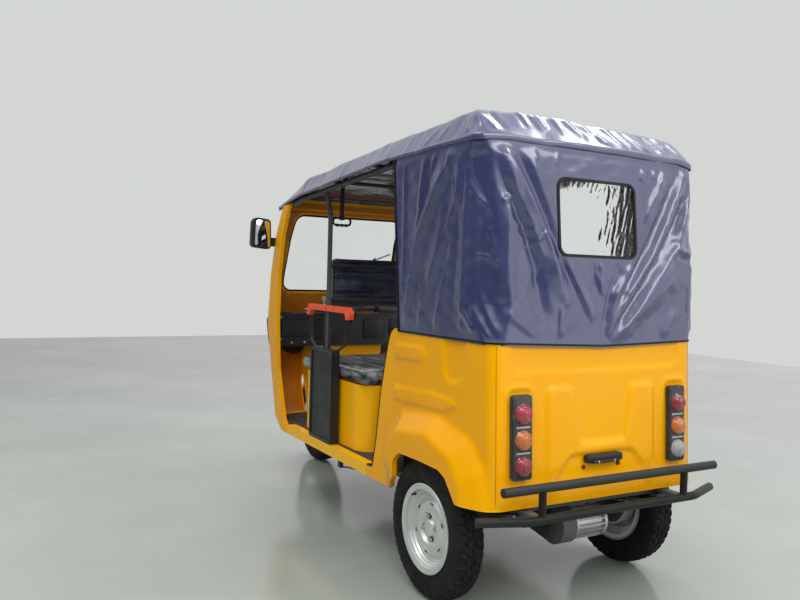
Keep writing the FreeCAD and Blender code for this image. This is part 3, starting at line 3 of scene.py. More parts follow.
import bmesh
import bpy
import numpy as np
from mathutils import Matrix, Vector
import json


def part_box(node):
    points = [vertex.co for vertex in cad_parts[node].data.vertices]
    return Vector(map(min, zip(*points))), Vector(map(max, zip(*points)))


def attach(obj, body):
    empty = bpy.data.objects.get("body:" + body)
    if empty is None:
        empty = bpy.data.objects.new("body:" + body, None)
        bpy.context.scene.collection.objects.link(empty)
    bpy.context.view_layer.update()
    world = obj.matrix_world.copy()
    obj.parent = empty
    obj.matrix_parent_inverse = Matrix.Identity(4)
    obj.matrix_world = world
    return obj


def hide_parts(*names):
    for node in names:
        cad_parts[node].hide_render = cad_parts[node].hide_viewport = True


# Looks of the auto rickshaw. Points are written as in the CAD model: millimetres, +X to the
# vehicle's left, lengths counted from the rear axle (positive to the rear), heights from the floor.
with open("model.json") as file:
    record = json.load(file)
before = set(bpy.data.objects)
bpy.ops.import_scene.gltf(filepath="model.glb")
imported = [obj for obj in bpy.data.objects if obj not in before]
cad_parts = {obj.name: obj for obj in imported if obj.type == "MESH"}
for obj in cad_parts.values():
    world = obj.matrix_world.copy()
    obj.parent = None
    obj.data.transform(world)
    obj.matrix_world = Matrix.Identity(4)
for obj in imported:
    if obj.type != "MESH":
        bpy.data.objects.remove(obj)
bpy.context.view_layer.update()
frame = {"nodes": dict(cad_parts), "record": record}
nodes = frame["nodes"]
MM = 0.001
wheel_low, wheel_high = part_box("rear_tyre_left")
AXLE_Y = (wheel_low.y + wheel_high.y) / 2


def spot(x, y, z):
    """A point of the vehicle in the scene's frame, in metres."""
    return Vector((x * MM, y * MM + AXLE_Y, z * MM))


def spots(points):
    """Many points of the vehicle as rows of metres."""
    out = np.asarray(points, float).reshape(-1, 3) * MM
    out[:, 1] += AXLE_Y
    return out


# Materials
def rgb(red, green, blue):
    """A colour picked from the photograph, as linear light."""
    return tuple((c / 255 / 12.92) if c < 11 else ((c / 255 + 0.055) / 1.055) ** 2.4
                 for c in (red, green, blue)) + (1.0,)


def add_node(tree, kind, inputs=None, **values):
    """A node of a tree, its inputs set to values or linked to other nodes' outputs."""
    made = tree.nodes.new(kind)
    for key, value in values.items():
        setattr(made, key, value)
    for key, value in (inputs or {}).items():
        if isinstance(value, bpy.types.NodeSocket):
            tree.links.new(value, made.inputs[key])
        else:
            made.inputs[key].default_value = value
    return made


def colour_ramp(tree, value, stops):
    """A colour by a value, from stops of (place, colour)."""
    made = add_node(tree, "ShaderNodeValToRGB", {"Fac": value})
    elements = made.color_ramp.elements
    elements[0].position, elements[0].color = stops[0]
    elements[1].position, elements[1].color = stops[-1]
    for place, colour in stops[1:-1]:
        elements.new(place).color = colour
    return made.outputs["Color"]


class Surface:
    """A material made of nodes: colour variation, roughness variation and grain."""

    def __init__(self, name):
        self.material = bpy.data.materials.new(name)
        self.material.use_nodes = True
        self.tree = self.material.node_tree
        self.shader = self.tree.nodes["Principled BSDF"]
        self.coords = self.add("ShaderNodeTexCoord").outputs["Object"]
        self.height = None

    def add(self, kind, inputs=None, **values):
        return add_node(self.tree, kind, inputs, **values)

    def link(self, output, socket):
        self.tree.links.new(output, self.shader.inputs[socket])
        return self

    def noise(self, scale, detail=4.0, stretch=(1, 1, 1), rough=0.55, kind="FBM"):
        """A noise of a given scale (in waves a metre), stretched along an axis if asked."""
        mapping = self.add("ShaderNodeMapping", {"Vector": self.coords, "Scale": stretch})
        inputs = {"Vector": mapping.outputs["Vector"], "Scale": scale, "Detail": detail, "Roughness": rough}
        return self.add("ShaderNodeTexNoise", inputs, noise_type=kind).outputs["Fac"]

    def ramp(self, value, low, high, start=0.3, end=0.7):
        """A colour between two, by a value."""
        return colour_ramp(self.tree, value, [(start, low), (end, high)])

    def spread(self, value, low, high, start=0.3, end=0.7):
        """A number between two, by a value."""
        inputs = {"Value": value, "From Min": start, "From Max": end, "To Min": low, "To Max": high}
        return self.add("ShaderNodeMapRange", inputs).outputs["Result"]

    def mix(self, share, first, second):
        """Two colours mixed by a share."""
        return self.add("ShaderNodeMix", {0: share, 6: first, 7: second}, data_type="RGBA").outputs[2]

    def colour(self, output):
        return self.link(output, "Base Color")

    def rough(self, low, high, scale=14.0):
        return self.link(self.spread(self.noise(scale), low, high), "Roughness")

    def bump(self, output, strength, depth=0.001):
        """Add a relief to the ones there already."""
        inputs = {"Strength": strength, "Distance": depth, "Height": output}
        if self.height is not None:
            inputs["Normal"] = self.height
        self.height = self.add("ShaderNodeBump", inputs).outputs["Normal"]
        return self.link(self.height, "Normal")

    def set(self, **values):
        for key, value in values.items():
            self.shader.inputs[key.replace("_", " ")].default_value = value
        return self

    def edge_wear_and_highlight(self, base, worn, start=0.52, end=0.6):
        """A lighter or darker tone along sharp edges: worn edges on the other finishes, a painted highlight
        on the yellow paint.
        """
        geometry = self.add("ShaderNodeNewGeometry")
        return self.mix(self.spread(geometry.outputs["Pointiness"], 0, 1, start, end), base, worn)


def plain(name, dark, light, rough, grain_scale=300.0, grain=0.15, worn=None, **values):
    """A usual finish: two close tones picked from the photograph, varied roughness and a fine grain."""
    surface = Surface(name)
    tone = surface.ramp(surface.noise(6.0), rgb(*dark), rgb(*light))
    if worn:
        tone = surface.edge_wear_and_highlight(tone, rgb(*worn))
    surface.colour(tone).rough(*rough)
    surface.bump(surface.noise(grain_scale, 2.0), grain, 0.0004)
    return surface.set(**values).material


def paint_yellow():
    surface = Surface("body_yellow")
    tone = surface.ramp(surface.noise(2.2, 3.0), rgb(233, 160, 0), rgb(241, 171, 0))
    # the lighter yellow along sharp edges is a painted highlight, not wear
    tone = surface.edge_wear_and_highlight(tone, rgb(248, 184, 16), 0.54, 0.68)
    surface.colour(tone).rough(0.2, 0.32, 5.0)
    # slow waves of a moulded panel, then the fine orange peel of the paint
    surface.bump(surface.noise(7.0, 1.5), 0.35, 0.004)
    surface.bump(surface.noise(180.0, 1.0), 0.03, 0.0004)
    return surface.set(Coat_Weight=0.2, Coat_Roughness=0.04, Specular_IOR_Level=0.12).material


def canopy_cloth():
    surface = Surface("canopy_fabric")
    tone = surface.ramp(surface.noise(3.5, 4.0), rgb(39, 46, 86), rgb(54, 60, 101), 0.25, 0.75)
    surface.colour(tone).rough(0.2, 0.32, 9.0)
    # broken creases of a tarpaulin, then its soft small dents
    surface.bump(surface.noise(5.5, 3.0, (1.0, 1.0, 0.5), kind="RIDGED_MULTIFRACTAL"), 0.5, 0.002)
    surface.bump(surface.noise(26.0, 3.0), 0.3, 0.0022)
    surface.bump(surface.noise(110.0, 2.0), 0.1, 0.0008)
    weave = surface.add("ShaderNodeTexMagic", {"Vector": surface.coords, "Scale": 900.0}, turbulence_depth=2)
    surface.bump(weave.outputs["Fac"], 0.08, 0.0002)
    return surface.set(Coat_Weight=0.75, Coat_Roughness=0.16, Specular_IOR_Level=0.8).material


def rubber_tyre():
    surface = Surface("tyre")
    tone = surface.ramp(surface.noise(9.0), rgb(13, 13, 13), rgb(25, 25, 25))
    tone = surface.mix(surface.spread(surface.noise(40.0), 0, 0.5, 0.5, 0.8), tone, rgb(56, 54, 48))
    surface.colour(tone).rough(0.55, 0.8)
    surface.bump(surface.noise(260.0, 3.0), 0.25, 0.0006)
    return surface.set(Specular_IOR_Level=0.25).material


def clear(name, tint, rough, ior, wrinkle=0.0):
    """A clear film or pane."""
    surface = Surface(name)
    tone = surface.ramp(surface.noise(5.0), tint, tuple(min(1.0, c * 1.04) for c in tint[:3]) + (1.0,))
    surface.colour(tone).rough(*rough)
    if wrinkle:
        surface.bump(surface.noise(34.0, 3.0, (1.0, 1.0, 0.25)), wrinkle, 0.004)
    return surface.set(Transmission_Weight=1.0, IOR=ior).material


YELLOW = paint_yellow()
CANOPY = canopy_cloth()
BLACK_METAL = plain("black_metal", (34, 36, 37), (50, 53, 54), (0.38, 0.52), worn=(92, 94, 94))
BUMPER_GREY = plain("bumper_grey", (20, 24, 22), (31, 35, 33), (0.36, 0.5), worn=(44, 48, 45),
                    Specular_IOR_Level=0.22)
BLACK_PLASTIC = plain("black_plastic", (24, 25, 27), (36, 37, 40), (0.36, 0.55), 500, 0.25)
BLACK_RUBBER = plain("black_rubber", (16, 16, 17), (28, 28, 29), (0.5, 0.65), 400, 0.2,
                     Specular_IOR_Level=0.3)
PARTING = plain("parting_line", (120, 76, 4), (140, 90, 8), (0.5, 0.6))
GREY_PLASTIC = plain("grey_plastic", (104, 106, 108), (128, 130, 132), (0.4, 0.55))
FLOOR_MAT = plain("floor_mat", (46, 47, 49), (64, 65, 67), (0.55, 0.75), 320, 0.3)
MOTOR_ALU = plain("motor_aluminium", (176, 178, 178), (212, 214, 213), (0.3, 0.45), 260, 0.25, Metallic=0.7)
GRIP_ORANGE = plain("grip_orange", (226, 74, 34), (244, 96, 52), (0.4, 0.55), 420, 0.25)
RIM_SILVER = plain("rim_silver", (196, 201, 196), (224, 228, 223), (0.28, 0.42), 240, 0.12,
                   worn=(226, 227, 226), Metallic=0.55)
TYRE = rubber_tyre()
SEAT_BLACK = plain("seat_black", (24, 25, 28), (38, 40, 44), (0.42, 0.6), 700, 0.35)
LAMP_CLEAR = plain("lamp_clear", (214, 218, 220), (236, 239, 240), (0.06, 0.14), 90, 0.1,
                   Transmission_Weight=0.6, IOR=1.45)
LAMP_RED = plain("lamp_red", (138, 14, 30), (176, 28, 46), (0.05, 0.12), 90, 0.1,
                 Transmission_Weight=0.25, Coat_Weight=0.6)
LAMP_AMBER = plain("lamp_amber", (192, 92, 14), (220, 124, 28), (0.05, 0.12), 90, 0.1,
                   Transmission_Weight=0.25, Coat_Weight=0.6)
CLEAR_FILM = clear("clear_film", (0.93, 0.95, 0.95, 1.0), (0.06, 0.16), 1.3, wrinkle=1.0)


def crinkled(name, light, share):
    """A thin clear wrapping: its creases carry painted glints, pale opaque streaks on the clear film."""
    surface = Surface(name)
    surface.colour(surface.ramp(surface.noise(30.0), light, rgb(250, 251, 252))).rough(0.1, 0.25)
    creases = surface.noise(46.0, 4.0, (1.0, 1.0, 0.45), 0.62, "RIDGED_MULTIFRACTAL")
    surface.bump(creases, 1.0, 0.003)
    # the near-white tone shown on the creases is a painted glint
    surface.link(surface.spread(creases, 0.03, share, 0.35, 0.85), "Alpha")
    return surface.set(Specular_IOR_Level=0.6).material


THIN_FILM = crinkled("thin_film", rgb(196, 200, 204), 0.6)
MIRROR_FACE = plain("mirror_face", (226, 230, 233), (236, 240, 243), (0.02, 0.05), 40, 0.02, Metallic=1)
LAMP_STRIP = plain("lamp_strip", (150, 152, 150), (182, 184, 180), (0.2, 0.35), 240, 0.2, Metallic=0.4)
DASH_GREY = plain("dash_grey", (60, 62, 64), (84, 86, 88), (0.4, 0.55), 420, 0.2)
# a darker copy of the yellow: painted shade for the nose's inner faces
NOSE_PAINTED_SHADE = plain("nose_painted_shade", (176, 104, 14), (196, 120, 20), (0.45, 0.6))
SCREEN_GLASS = clear("windscreen_glass", (0.95, 0.97, 0.97, 1.0), (0.01, 0.03), 1.2)
SILVER_METAL = plain("silver_metal", (168, 170, 172), (204, 206, 207), (0.22, 0.35), 200, 0.1, Metallic=0.9)
DARK_GAP = plain("dark_gap", (10, 10, 11), (18, 18, 19), (0.6, 0.8))
BOLT_RED = plain("bolt_primer", (110, 44, 18), (140, 60, 26), (0.4, 0.55), Metallic=0.3)


def wrapped(name, dark, light, sheen_dark, sheen_light, stretch):
    """A black seat seen through a loose clear film: pale streaks of painted sheen for the film's
    reflections, and sharp small wrinkles.
    """
    surface = Surface(name)
    tone = surface.ramp(surface.noise(6.0), rgb(*dark), rgb(*light))
    sheen_streak = surface.noise(26.0, 4.0, stretch, 0.6)
    # the film's pale tone, laid on in streaks, is painted sheen
    film = surface.ramp(surface.noise(9.0), rgb(*sheen_dark), rgb(*sheen_light))
    surface.colour(surface.mix(surface.spread(sheen_streak, 0, 0.95, 0.38, 0.66), tone, film)).rough(0.12, 0.3)
    surface.bump(surface.noise(30.0, 3.0, stretch, 0.5), 0.8, 0.004)
    surface.bump(surface.noise(220.0, 2.0), 0.12, 0.0005)
    return surface.set(Coat_Weight=0.5, Coat_Roughness=0.12, Specular_IOR_Level=0.5).material


SEAT_FILM = wrapped("seat_film", (30, 31, 34), (44, 46, 50), (112, 116, 119), (184, 187, 190), (1, 0.12, 1))
BACK_FILM = wrapped("back_film", (24, 26, 34), (36, 38, 50), (40, 43, 54), (78, 83, 97), (0.08, 1, 2.2))
SLOT_MATERIALS = {
    "body_yellow": YELLOW, "canopy_fabric": CANOPY, "black_metal": BLACK_METAL,
    "black_plastic": BLACK_PLASTIC, "grey_plastic": GREY_PLASTIC, "floor_mat": FLOOR_MAT,
    "motor_aluminium": MOTOR_ALU, "grip_orange": GRIP_ORANGE, "rim_silver": RIM_SILVER, "tyre": TYRE,
    "seat_black": SEAT_BLACK, "lamp_clear": LAMP_CLEAR, "lamp_red": LAMP_RED, "clear_film": CLEAR_FILM,
    "windscreen_glass": SCREEN_GLASS,
}


# Mesh helpers
class Form:
    """Points and faces gathered for one piece, in the vehicle's millimetres."""

    def __init__(self):
        self.points = []
        self.faces = []
        self.tones = []

    def add(self, points, faces, tone=0):
        start = len(self.points)
        self.points.extend(np.asarray(points, float).reshape(-1, 3).tolist())
        self.faces.extend([tuple(start + i for i in face) for face in faces])
        self.tones.extend([tone] * len(faces))
        return self

    def grid(self, points, close_rows=False):
        """Points stored as rows and columns, and the faces between them."""
        return self.add(points, grid_faces(*points.shape[:2], close_rows))

    def mirrored(self):
        """The same form, and its mirror image on the other side."""
        start = len(self.points)
        self.points.extend([(-x, y, z) for x, y, z in self.points])
        self.faces.extend([tuple(start + i for i in reversed(face)) for face in list(self.faces)])
        self.tones.extend(list(self.tones))
        return self


def piece(name, form, materials, body="chassis", replaces=(), smooth=40):
    """A mesh object from a form, riding on a body."""
    mesh = bpy.data.meshes.new(name)
    mesh.from_pydata([tuple(p) for p in spots(form.points)], [], form.faces)
    for material in materials:
        mesh.materials.append(material)
    mesh.polygons.foreach_set("material_index", form.tones)
    mesh.validate()
    work = bmesh.new()
    work.from_mesh(mesh)
    bmesh.ops.recalc_face_normals(work, faces=work.faces)
    work.to_mesh(mesh)
    work.free()
    mesh.shade_smooth()
    if smooth:
        mesh.set_sharp_from_angle(angle=math.radians(smooth))
    made = bpy.data.objects.new(name, mesh)
    bpy.context.scene.collection.objects.link(made)
    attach(made, body)
    if replaces:
        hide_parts(*replaces)
    return made


def grid_faces(rows, columns, close_rows=False, close_columns=False):
    """Quads of a grid of points stored row by row."""
    faces = []
    for i in range(rows if close_rows else rows - 1):
        for j in range(columns if close_columns else columns - 1):
            i2 = (i + 1) % rows
            j2 = (j + 1) % columns
            faces.append((i * columns + j, i * columns + j2, i2 * columns + j2, i2 * columns + j))
    return faces


def rounded_line(points, radii, closed=True, steps=6):
    """A line of flat points with arcs at its corners. Each point is (a, b)."""
    points = [np.asarray(p, float) for p in points]
    count = len(points)
    if not hasattr(radii, "__len__"):
        radii = [radii] * count
    out = []
    for i, (point, radius) in enumerate(zip(points, radii)):
        inner = closed or 0 < i < count - 1
        if radius <= 0 or not inner:
            out.append(point)
            continue
        before = points[i - 1] - point
        after = points[(i + 1) % count] - point
        before_long, after_long = np.linalg.norm(before), np.linalg.norm(after)
        before, after = before / before_long, after / after_long
        half = math.acos(max(-1, min(1, float(before @ after)))) / 2
        if half > math.radians(88):
            out.append(point)
            continue
        reach = min(radius / math.tan(half), 0.48 * before_long, 0.48 * after_long)
        radius = reach * math.tan(half)
        middle = (before + after) / np.linalg.norm(before + after)
        centre = point + middle * radius / math.sin(half)
        start = point + before * reach - centre
        turn = math.pi - 2 * half
        cross = before[0] * after[1] - before[1] * after[0]
        sign = -1 if cross > 0 else 1
        for k in range(steps + 1):
            angle = sign * turn * k / steps
            c, n = math.cos(angle), math.sin(angle)
            out.append(centre + np.array([c * start[0] - n * start[1], n * start[0] + c * start[1]]))
    return out


def rectangle(low_a, high_a, low_b, high_b, radius, steps=6):
    """A flat rectangle with round corners."""
    corners = [(low_a, low_b), (high_a, low_b), (high_a, high_b), (low_a, high_b)]
    return rounded_line(corners, radius, steps=steps)


def even_line(points, step, closed=False):
    """The same line with points about step apart."""
    points = np.asarray(points, float)
    if closed:
        points = np.vstack([points, points[:1]])
    lengths = np.linalg.norm(np.diff(points, axis=0), axis=1)
    keep = np.concatenate([[True], lengths > 1e-9])
    points = points[keep]
    along = np.concatenate([[0], np.cumsum(np.linalg.norm(np.diff(points, axis=0), axis=1))])
    count = max(2, int(round(along[-1] / step)) + 1)
    where = np.linspace(0, along[-1], count)
    made = np.stack([np.interp(where, along, points[:, k]) for k in range(points.shape[1])], axis=1)
    return made[:-1] if closed else made


def sweep(form, path, section, closed=False, up=(0, 0, 1), tone=0):
    """Carry a section along a path into a form. The section is (side, up) in millimetres."""
    path = np.asarray(path, float)
    section = np.asarray(section, float)
    if closed:
        tangents = np.roll(path, -1, 0) - np.roll(path, 1, 0)
    else:
        tangents = np.gradient(path, axis=0)
    tangents /= np.linalg.norm(tangents, axis=1)[:, None]
    normal = np.asarray(up, float)
    if abs(tangents[0] @ normal) > 0.95:
        normal = np.array([1.0, 0, 0])
    rings = []
    for at, tangent in zip(path, tangents):
        normal = normal - tangent * (tangent @ normal)
        normal /= np.linalg.norm(normal)
        rings.append(at + section[:, :1] * np.cross(tangent, normal) + section[:, 1:] * normal)
    faces = grid_faces(len(path), len(section), close_rows=closed, close_columns=True)
    if not closed:
        faces.append(tuple(reversed(range(len(section)))))
        faces.append(tuple((len(path) - 1) * len(section) + k for k in range(len(section))))
    return form.add(np.concatenate(rings), faces, tone)


def ring(radius, sides=16, squeeze=1.0):
    """A round section for a sweep."""
    angles = np.arange(sides) * 2 * math.pi / sides
    return np.stack([np.cos(angles) * radius, np.sin(angles) * radius * squeeze], axis=1)


def tube(form, points, radius, bend=0.0, tone=0, sides=16, step=12):
    """A round bar through points in space, with bends of a radius."""
    line = bend_line([np.asarray(p, float) for p in points], bend)
    return sweep(form, even_line(line, step), ring(radius, sides), tone=tone)


def bend_line(points, radius, steps=7):
    """A line through points in space with a bend at each inner point."""
    out = [points[0]]
    for last, point, following in zip(points, points[1:], points[2:]):
        before, after = last - point, following - point
        before_long, after_long = np.linalg.norm(before), np.linalg.norm(after)
        before, after = before / before_long, after / after_long
        half = math.acos(max(-1, min(1, float(before @ after)))) / 2
        if radius <= 0 or half > math.radians(87):
            out.append(point)
            continue
        reach = min(radius / math.tan(half), 0.48 * after_long, 0.48 * before_long)
        for k in range(steps + 1):
            t = k / steps
            out.append(point + before * reach * (1 - t) ** 2 + after * reach * t ** 2)
    return out + [points[-1]]


def lathe(form, profile, centre, axis="x", segments=64, tone=0):
    """A profile of (along the axis, radius) turned about an axis through a point."""
    profile = np.asarray(profile, float)
    angles = np.arange(segments) * 2 * math.pi / segments
    along = np.repeat(profile[None, :, 0], segments, 0)
    across = profile[None, :, 1] * np.cos(angles)[:, None]
    rise = profile[None, :, 1] * np.sin(angles)[:, None]
    columns = {"x": (along, across, rise), "y": (across, along, rise), "z": (across, rise, along)}[axis]
    points = np.stack(columns, axis=2).reshape(-1, 3) + np.asarray(centre, float)
    return form.add(points, grid_faces(segments, len(profile), close_rows=True), tone)


def block(form, low, high, round_by=3.0, tone=0, matrix=None, segments=2):
    """A box with rounded edges between two corners."""
    work = bmesh.new()
    bmesh.ops.create_cube(work, size=1.0)
    low, size = Vector(low), Vector(high) - Vector(low)
    for vert in work.verts:
        vert.co = (vert.co + Vector((0.5, 0.5, 0.5))) * size + low
    return take(form, work, work.edges[:], round_by, tone, matrix, segments)


def take(form, work, edges, round_by, tone, matrix, segments=2):
    """Round some edges of a bmesh built in millimetres and put it into a form."""
    bmesh.ops.bevel(work, geom=edges, offset=round_by, segments=segments, profile=0.5, affect="EDGES")
    if matrix is not None:
        work.transform(matrix)
    work.verts.index_update()
    form.add([tuple(v.co) for v in work.verts], [tuple(v.index for v in f.verts) for f in work.faces], tone)
    work.free()
    return form


def slab(form, outline, low, high, axis="y", round_by=2.0, tone=0, matrix=None):
    """A flat piece with an outline of two coordinates, between two values of the third."""
    def place(a, b, depth):
        point = [a, b]
        point.insert("xyz".index(axis), depth)
        return Vector(point)

    work = bmesh.new()
    face = work.faces.new([work.verts.new(place(a, b, low)) for a, b in outline])
    made = bmesh.ops.extrude_face_region(work, geom=[face])["geom"]
    moved = [item for item in made if isinstance(item, bmesh.types.BMVert)]
    bmesh.ops.translate(work, verts=moved, vec=place(0, 0, high) - place(0, 0, low))
    bmesh.ops.recalc_face_normals(work, faces=work.faces)
    rims = [edge for edge in work.edges if edge.calc_face_angle(0) > math.radians(50)]
    return take(form, work, rims, round_by, tone, matrix)


def joined(*columns):
    """Arrays of coordinates joined into an array of points."""
    return np.stack(columns, axis=-1)


def distance(points, line, closed=True):
    """Distance of flat points to a line of flat points."""
    line = np.asarray(line, float)
    ends = np.roll(line, -1, 0) if closed else line[1:]
    starts = line if closed else line[:-1]
    best = np.full(points.shape[:-1], 1e9)
    for a, b in zip(starts, ends):
        ab = b - a
        share = np.clip(((points - a) @ ab) / max(ab @ ab, 1e-9), 0, 1)
        best = np.minimum(best, np.linalg.norm(points - a - share[..., None] * ab, axis=-1))
    return best


def inside(points, line):
    """Which flat points lie in a closed line."""
    line = np.asarray(line, float)
    result = np.zeros(points.shape[:-1], bool)
    x, y = points[..., 0], points[..., 1]
    for a, b in zip(line, np.roll(line, -1, 0)):
        crosses = (a[1] > y) != (b[1] > y)
        with np.errstate(divide="ignore", invalid="ignore"):
            at = (b[0] - a[0]) * (y - a[1]) / (b[1] - a[1]) + a[0]
        result ^= crosses & (x < at)
    return result


def signed(points, line):
    """Distance into a closed line, negative outside it."""
    far = distance(points, line)
    return np.where(inside(points, line), far, -far)


def step_up(value, width):
    """0 below, 1 above, and a smooth rise of a width round zero."""
    t = np.clip(value / width + 0.5, 0, 1)
    return t * t * (3 - 2 * t)


def blurred(field, passes):
    """A field smoothed over its neighbours."""
    for _ in range(passes):
        padded = np.pad(field, 1, mode="edge")
        field = (padded[:-2, 1:-1] + padded[2:, 1:-1] + padded[1:-1, :-2] + padded[1:-1, 2:]
                 + 2 * padded[1:-1, 1:-1]) / 6
    return field


def clipped(points, keep):
    """Faces of a grid of points cut where the field keep falls below zero.

    points is rows x columns x 3, keep is rows x columns. Cut cells get new points on the line
    where keep is zero, so the edge is smooth."""
    rows, columns = keep.shape
    out = list(map(tuple, points.reshape(-1, 3)))
    flat = keep.reshape(-1)
    cuts = {}
    faces = []

    def cut(a, b):
        key = (min(a, b), max(a, b))
        if key not in cuts:
            share = flat[a] / (flat[a] - flat[b])
            pa, pb = np.array(out[a]), np.array(out[b])
            cuts[key] = len(out)
            out.append(tuple(pa + (pb - pa) * share))
        return cuts[key]

    for i in range(rows - 1):
        for j in range(columns - 1):
            first = i * columns + j
            corners = (first, first + 1, first + columns + 1, first + columns)
            kept = [flat[corner] > 0 for corner in corners]
            if all(kept):
                faces.append(corners)
            elif any(kept):
                face = []
                for a, b in zip(corners, corners[1:] + corners[:1]):
                    if flat[a] > 0:
                        face.append(a)
                    if (flat[a] > 0) != (flat[b] > 0):
                        face.append(cut(a, b))
                if len(face) > 2:
                    faces.append(tuple(face))
    used = sorted({i for face in faces for i in face})
    place = {old: new for new, old in enumerate(used)}
    return [out[i] for i in used], [tuple(place[i] for i in face) for face in faces]


# Camera at the photograph's place
camera_data = bpy.data.cameras.new("camera")
camera_data.sensor_width = 36.0
camera_data.lens = 34.876
camera = bpy.data.objects.new("camera", camera_data)
bpy.context.scene.collection.objects.link(camera)
right = Vector((-0.87374, 0.48561, 0.02768))
top = Vector((0.00931, -0.04020, 0.99915))
toward = Vector((-0.48631, -0.87325, -0.03061))
camera.matrix_world = Matrix.Translation(Vector((2.0395, 3.4833, 1.2183))) @ Matrix(
    (right, top, -toward)).transposed().to_4x4()
bpy.context.scene.camera = camera


# Plain CAD pieces keep their shape and get their finish
for part in frame["record"]["subparts"]:
    node_mesh = nodes[part["node"]].data
    node_mesh.materials.clear()
    node_mesh.materials.append(SLOT_MATERIALS[part["material_slot"]])
for node_name, finish in (("rear_bumper", BUMPER_GREY), ("dashboard", BLACK_PLASTIC),
                          ("headlamps", BLACK_PLASTIC), ("wheel_housings", BLACK_PLASTIC)):
    nodes[node_name].data.materials[0] = finish


# The tub: one skin round the left side, the rear and the right side
SEAM_HIGH = 994
TUB_LOW = 426
SIDE_X = 489
REAR_FOOT = 378
REAR_SLOPE = 26 / (SEAM_HIGH - TUB_LOW)
FLARE_OUT = 61
CORNER = 45
LAMP_X = 377
LAMP_LOW = 530
FLARE_FOOT = [(-372, 0), (-372, 540), (-250, 672), (20, 700), (240, 652), (330, 560), (374, 426), (400, 0)]
FLARE_TOP = [(-300, 0), (-300, 530), (-212, 604), (15, 632), (185, 578), (246, 500), (268, 426), (290, 0)]
ARCH = [(-301, 200), (-301, 345), (-222, 411), (-222, 480), (-173, 521), (-16, 524), (121, 521), (168, 503),
        (203, 464), (236, 426), (236, 200)]
ARCH_ROUND = [0, 0, 22, 34, 26, 60, 50, 40, 40, 26, 0]
DOOR_EDGE = [(-262, 995), (-292, 1001), (-312, 1009), (-345, 1004), (-372, 985), (-388, 950), (-410, 880),
             (-451, 716), (-482, 510), (-510, 390), (-520, 383), (-562, 382)]


def rear_y(z):
    """Rear face of the tub at a height."""
    return REAR_FOOT - REAR_SLOPE * (z - TUB_LOW)


def flare_relief(y, z):
    """How far the wheel flare stands out of the tub's side at (y, z)."""
    at = joined(y, z)
    foot = np.maximum(signed(at, FLARE_FOOT), 0)
    past = np.maximum(-signed(at, FLARE_TOP), 0)
    share = foot / np.maximum(foot + past, 1e-6)
    # the flare swells round the rear corner, is flatter elsewhere, and drops to half at its front foot
    fade = 1 - 0.5 * (1 - np.clip((z - 350) / 110, 0, 1)) * np.clip((-222 - y) / 60, 0, 1)
    return FLARE_OUT * share ** np.interp(y, [180, 300], [1.0, 0.75]) * fade


def raised(at, height, width, outline, radii):
    """A flat raised form: its height, the width of its slope, its outline and corner radii."""
    return height * step_up(signed(at, rounded_line(outline, radii)), width)


def side_relief(y, z):
    """The ribs, the grip's hollow and a faint crease on the tub's side."""
    at = joined(y, z)
    out = raised(at, 6.5, 13, [(-330, 941), (-112, 946), (-78, 914), (-112, 886), (-330, 881)],
                 [0, 22, 30, 22, 0])
    out += raised(at, 6.5, 14, [(-330, 764), (-30, 778), (122, 768), (146, 752), (60, 718), (-330, 708)],
                  [0, 30, 26, 14, 60, 0])
    out += raised(at, -7.5, 18, [(44, 1060), (44, 900), (66, 838), (150, 836), (176, 900), (182, 1060)],
                  [0, 60, 50, 46, 60, 0])
    # a faint crease joins the ribs' front ends
    joint = distance(at, [(-312, 880), (-314, 766)], closed=False)
    return out - 1.6 * np.exp(-(joint / 7) ** 2)


def rear_relief(x, z):
    """How far the tub's rear stands out at (x, z): shallow panels and the lamps' hoods."""
    at = joined(x, z)
    out = raised(at, -6.5, 16, [(-400, 1090), (-400, 925), (-378, 901), (0, 897), (382, 899), (410, 925),
                                (410, 1090)], [0, 30, 26, 0, 26, 30, 0])
    legs = raised(at, 11.0, 18, [(-262, 300), (-262, 836), (-146, 838), (-110, 632), (102, 632), (140, 838),
                                 (258, 838), (258, 300), (226, 300), (208, 520), (150, 594), (-152, 594),
                                 (-214, 520), (-236, 300)],
                  [0, 26, 30, 26, 26, 30, 26, 0, 0, 30, 45, 45, 30, 0])
    out = out + legs * np.clip((z - 440) / 110, 0, 1)
    for middle in (-LAMP_X, LAMP_X):
        hood = rounded_line([(middle - 60, 690), (middle - 58, 846), (middle + 58, 846), (middle + 60, 690)],
                            [0, 28, 28, 0])
        bead = np.exp(-(distance(at, hood, closed=False) / 8.0) ** 2)
        out = out + 8.0 * bead * np.clip((z - 700) / 90, 0.0, 1)
    return out


tub_zs = np.arange(300, 1014, 6.0)
side_ys = np.concatenate([np.arange(-562, 284, 6.5), np.linspace(288, 333, 9)])
corner_angles = np.linspace(0, math.pi / 2, 14)[1:]
rear_xs = np.linspace(CORNER - SIDE_X, SIDE_X - CORNER, 138)[::-1][1:-1]


def tub_plan(z):
    """Plan of the tub's left half at a height, without relief: the side, then the corner."""
    back = rear_y(z)
    ys = np.where(side_ys > 284, 288 + (side_ys - 288) * (back - CORNER - 288) / 45, side_ys)
    xs = np.full(len(ys), float(SIDE_X))
    corner_x = SIDE_X - CORNER + CORNER * np.cos(corner_angles)
    corner_y = back - CORNER + CORNER * np.sin(corner_angles)
    return np.concatenate([xs, corner_x]), np.concatenate([ys, corner_y])


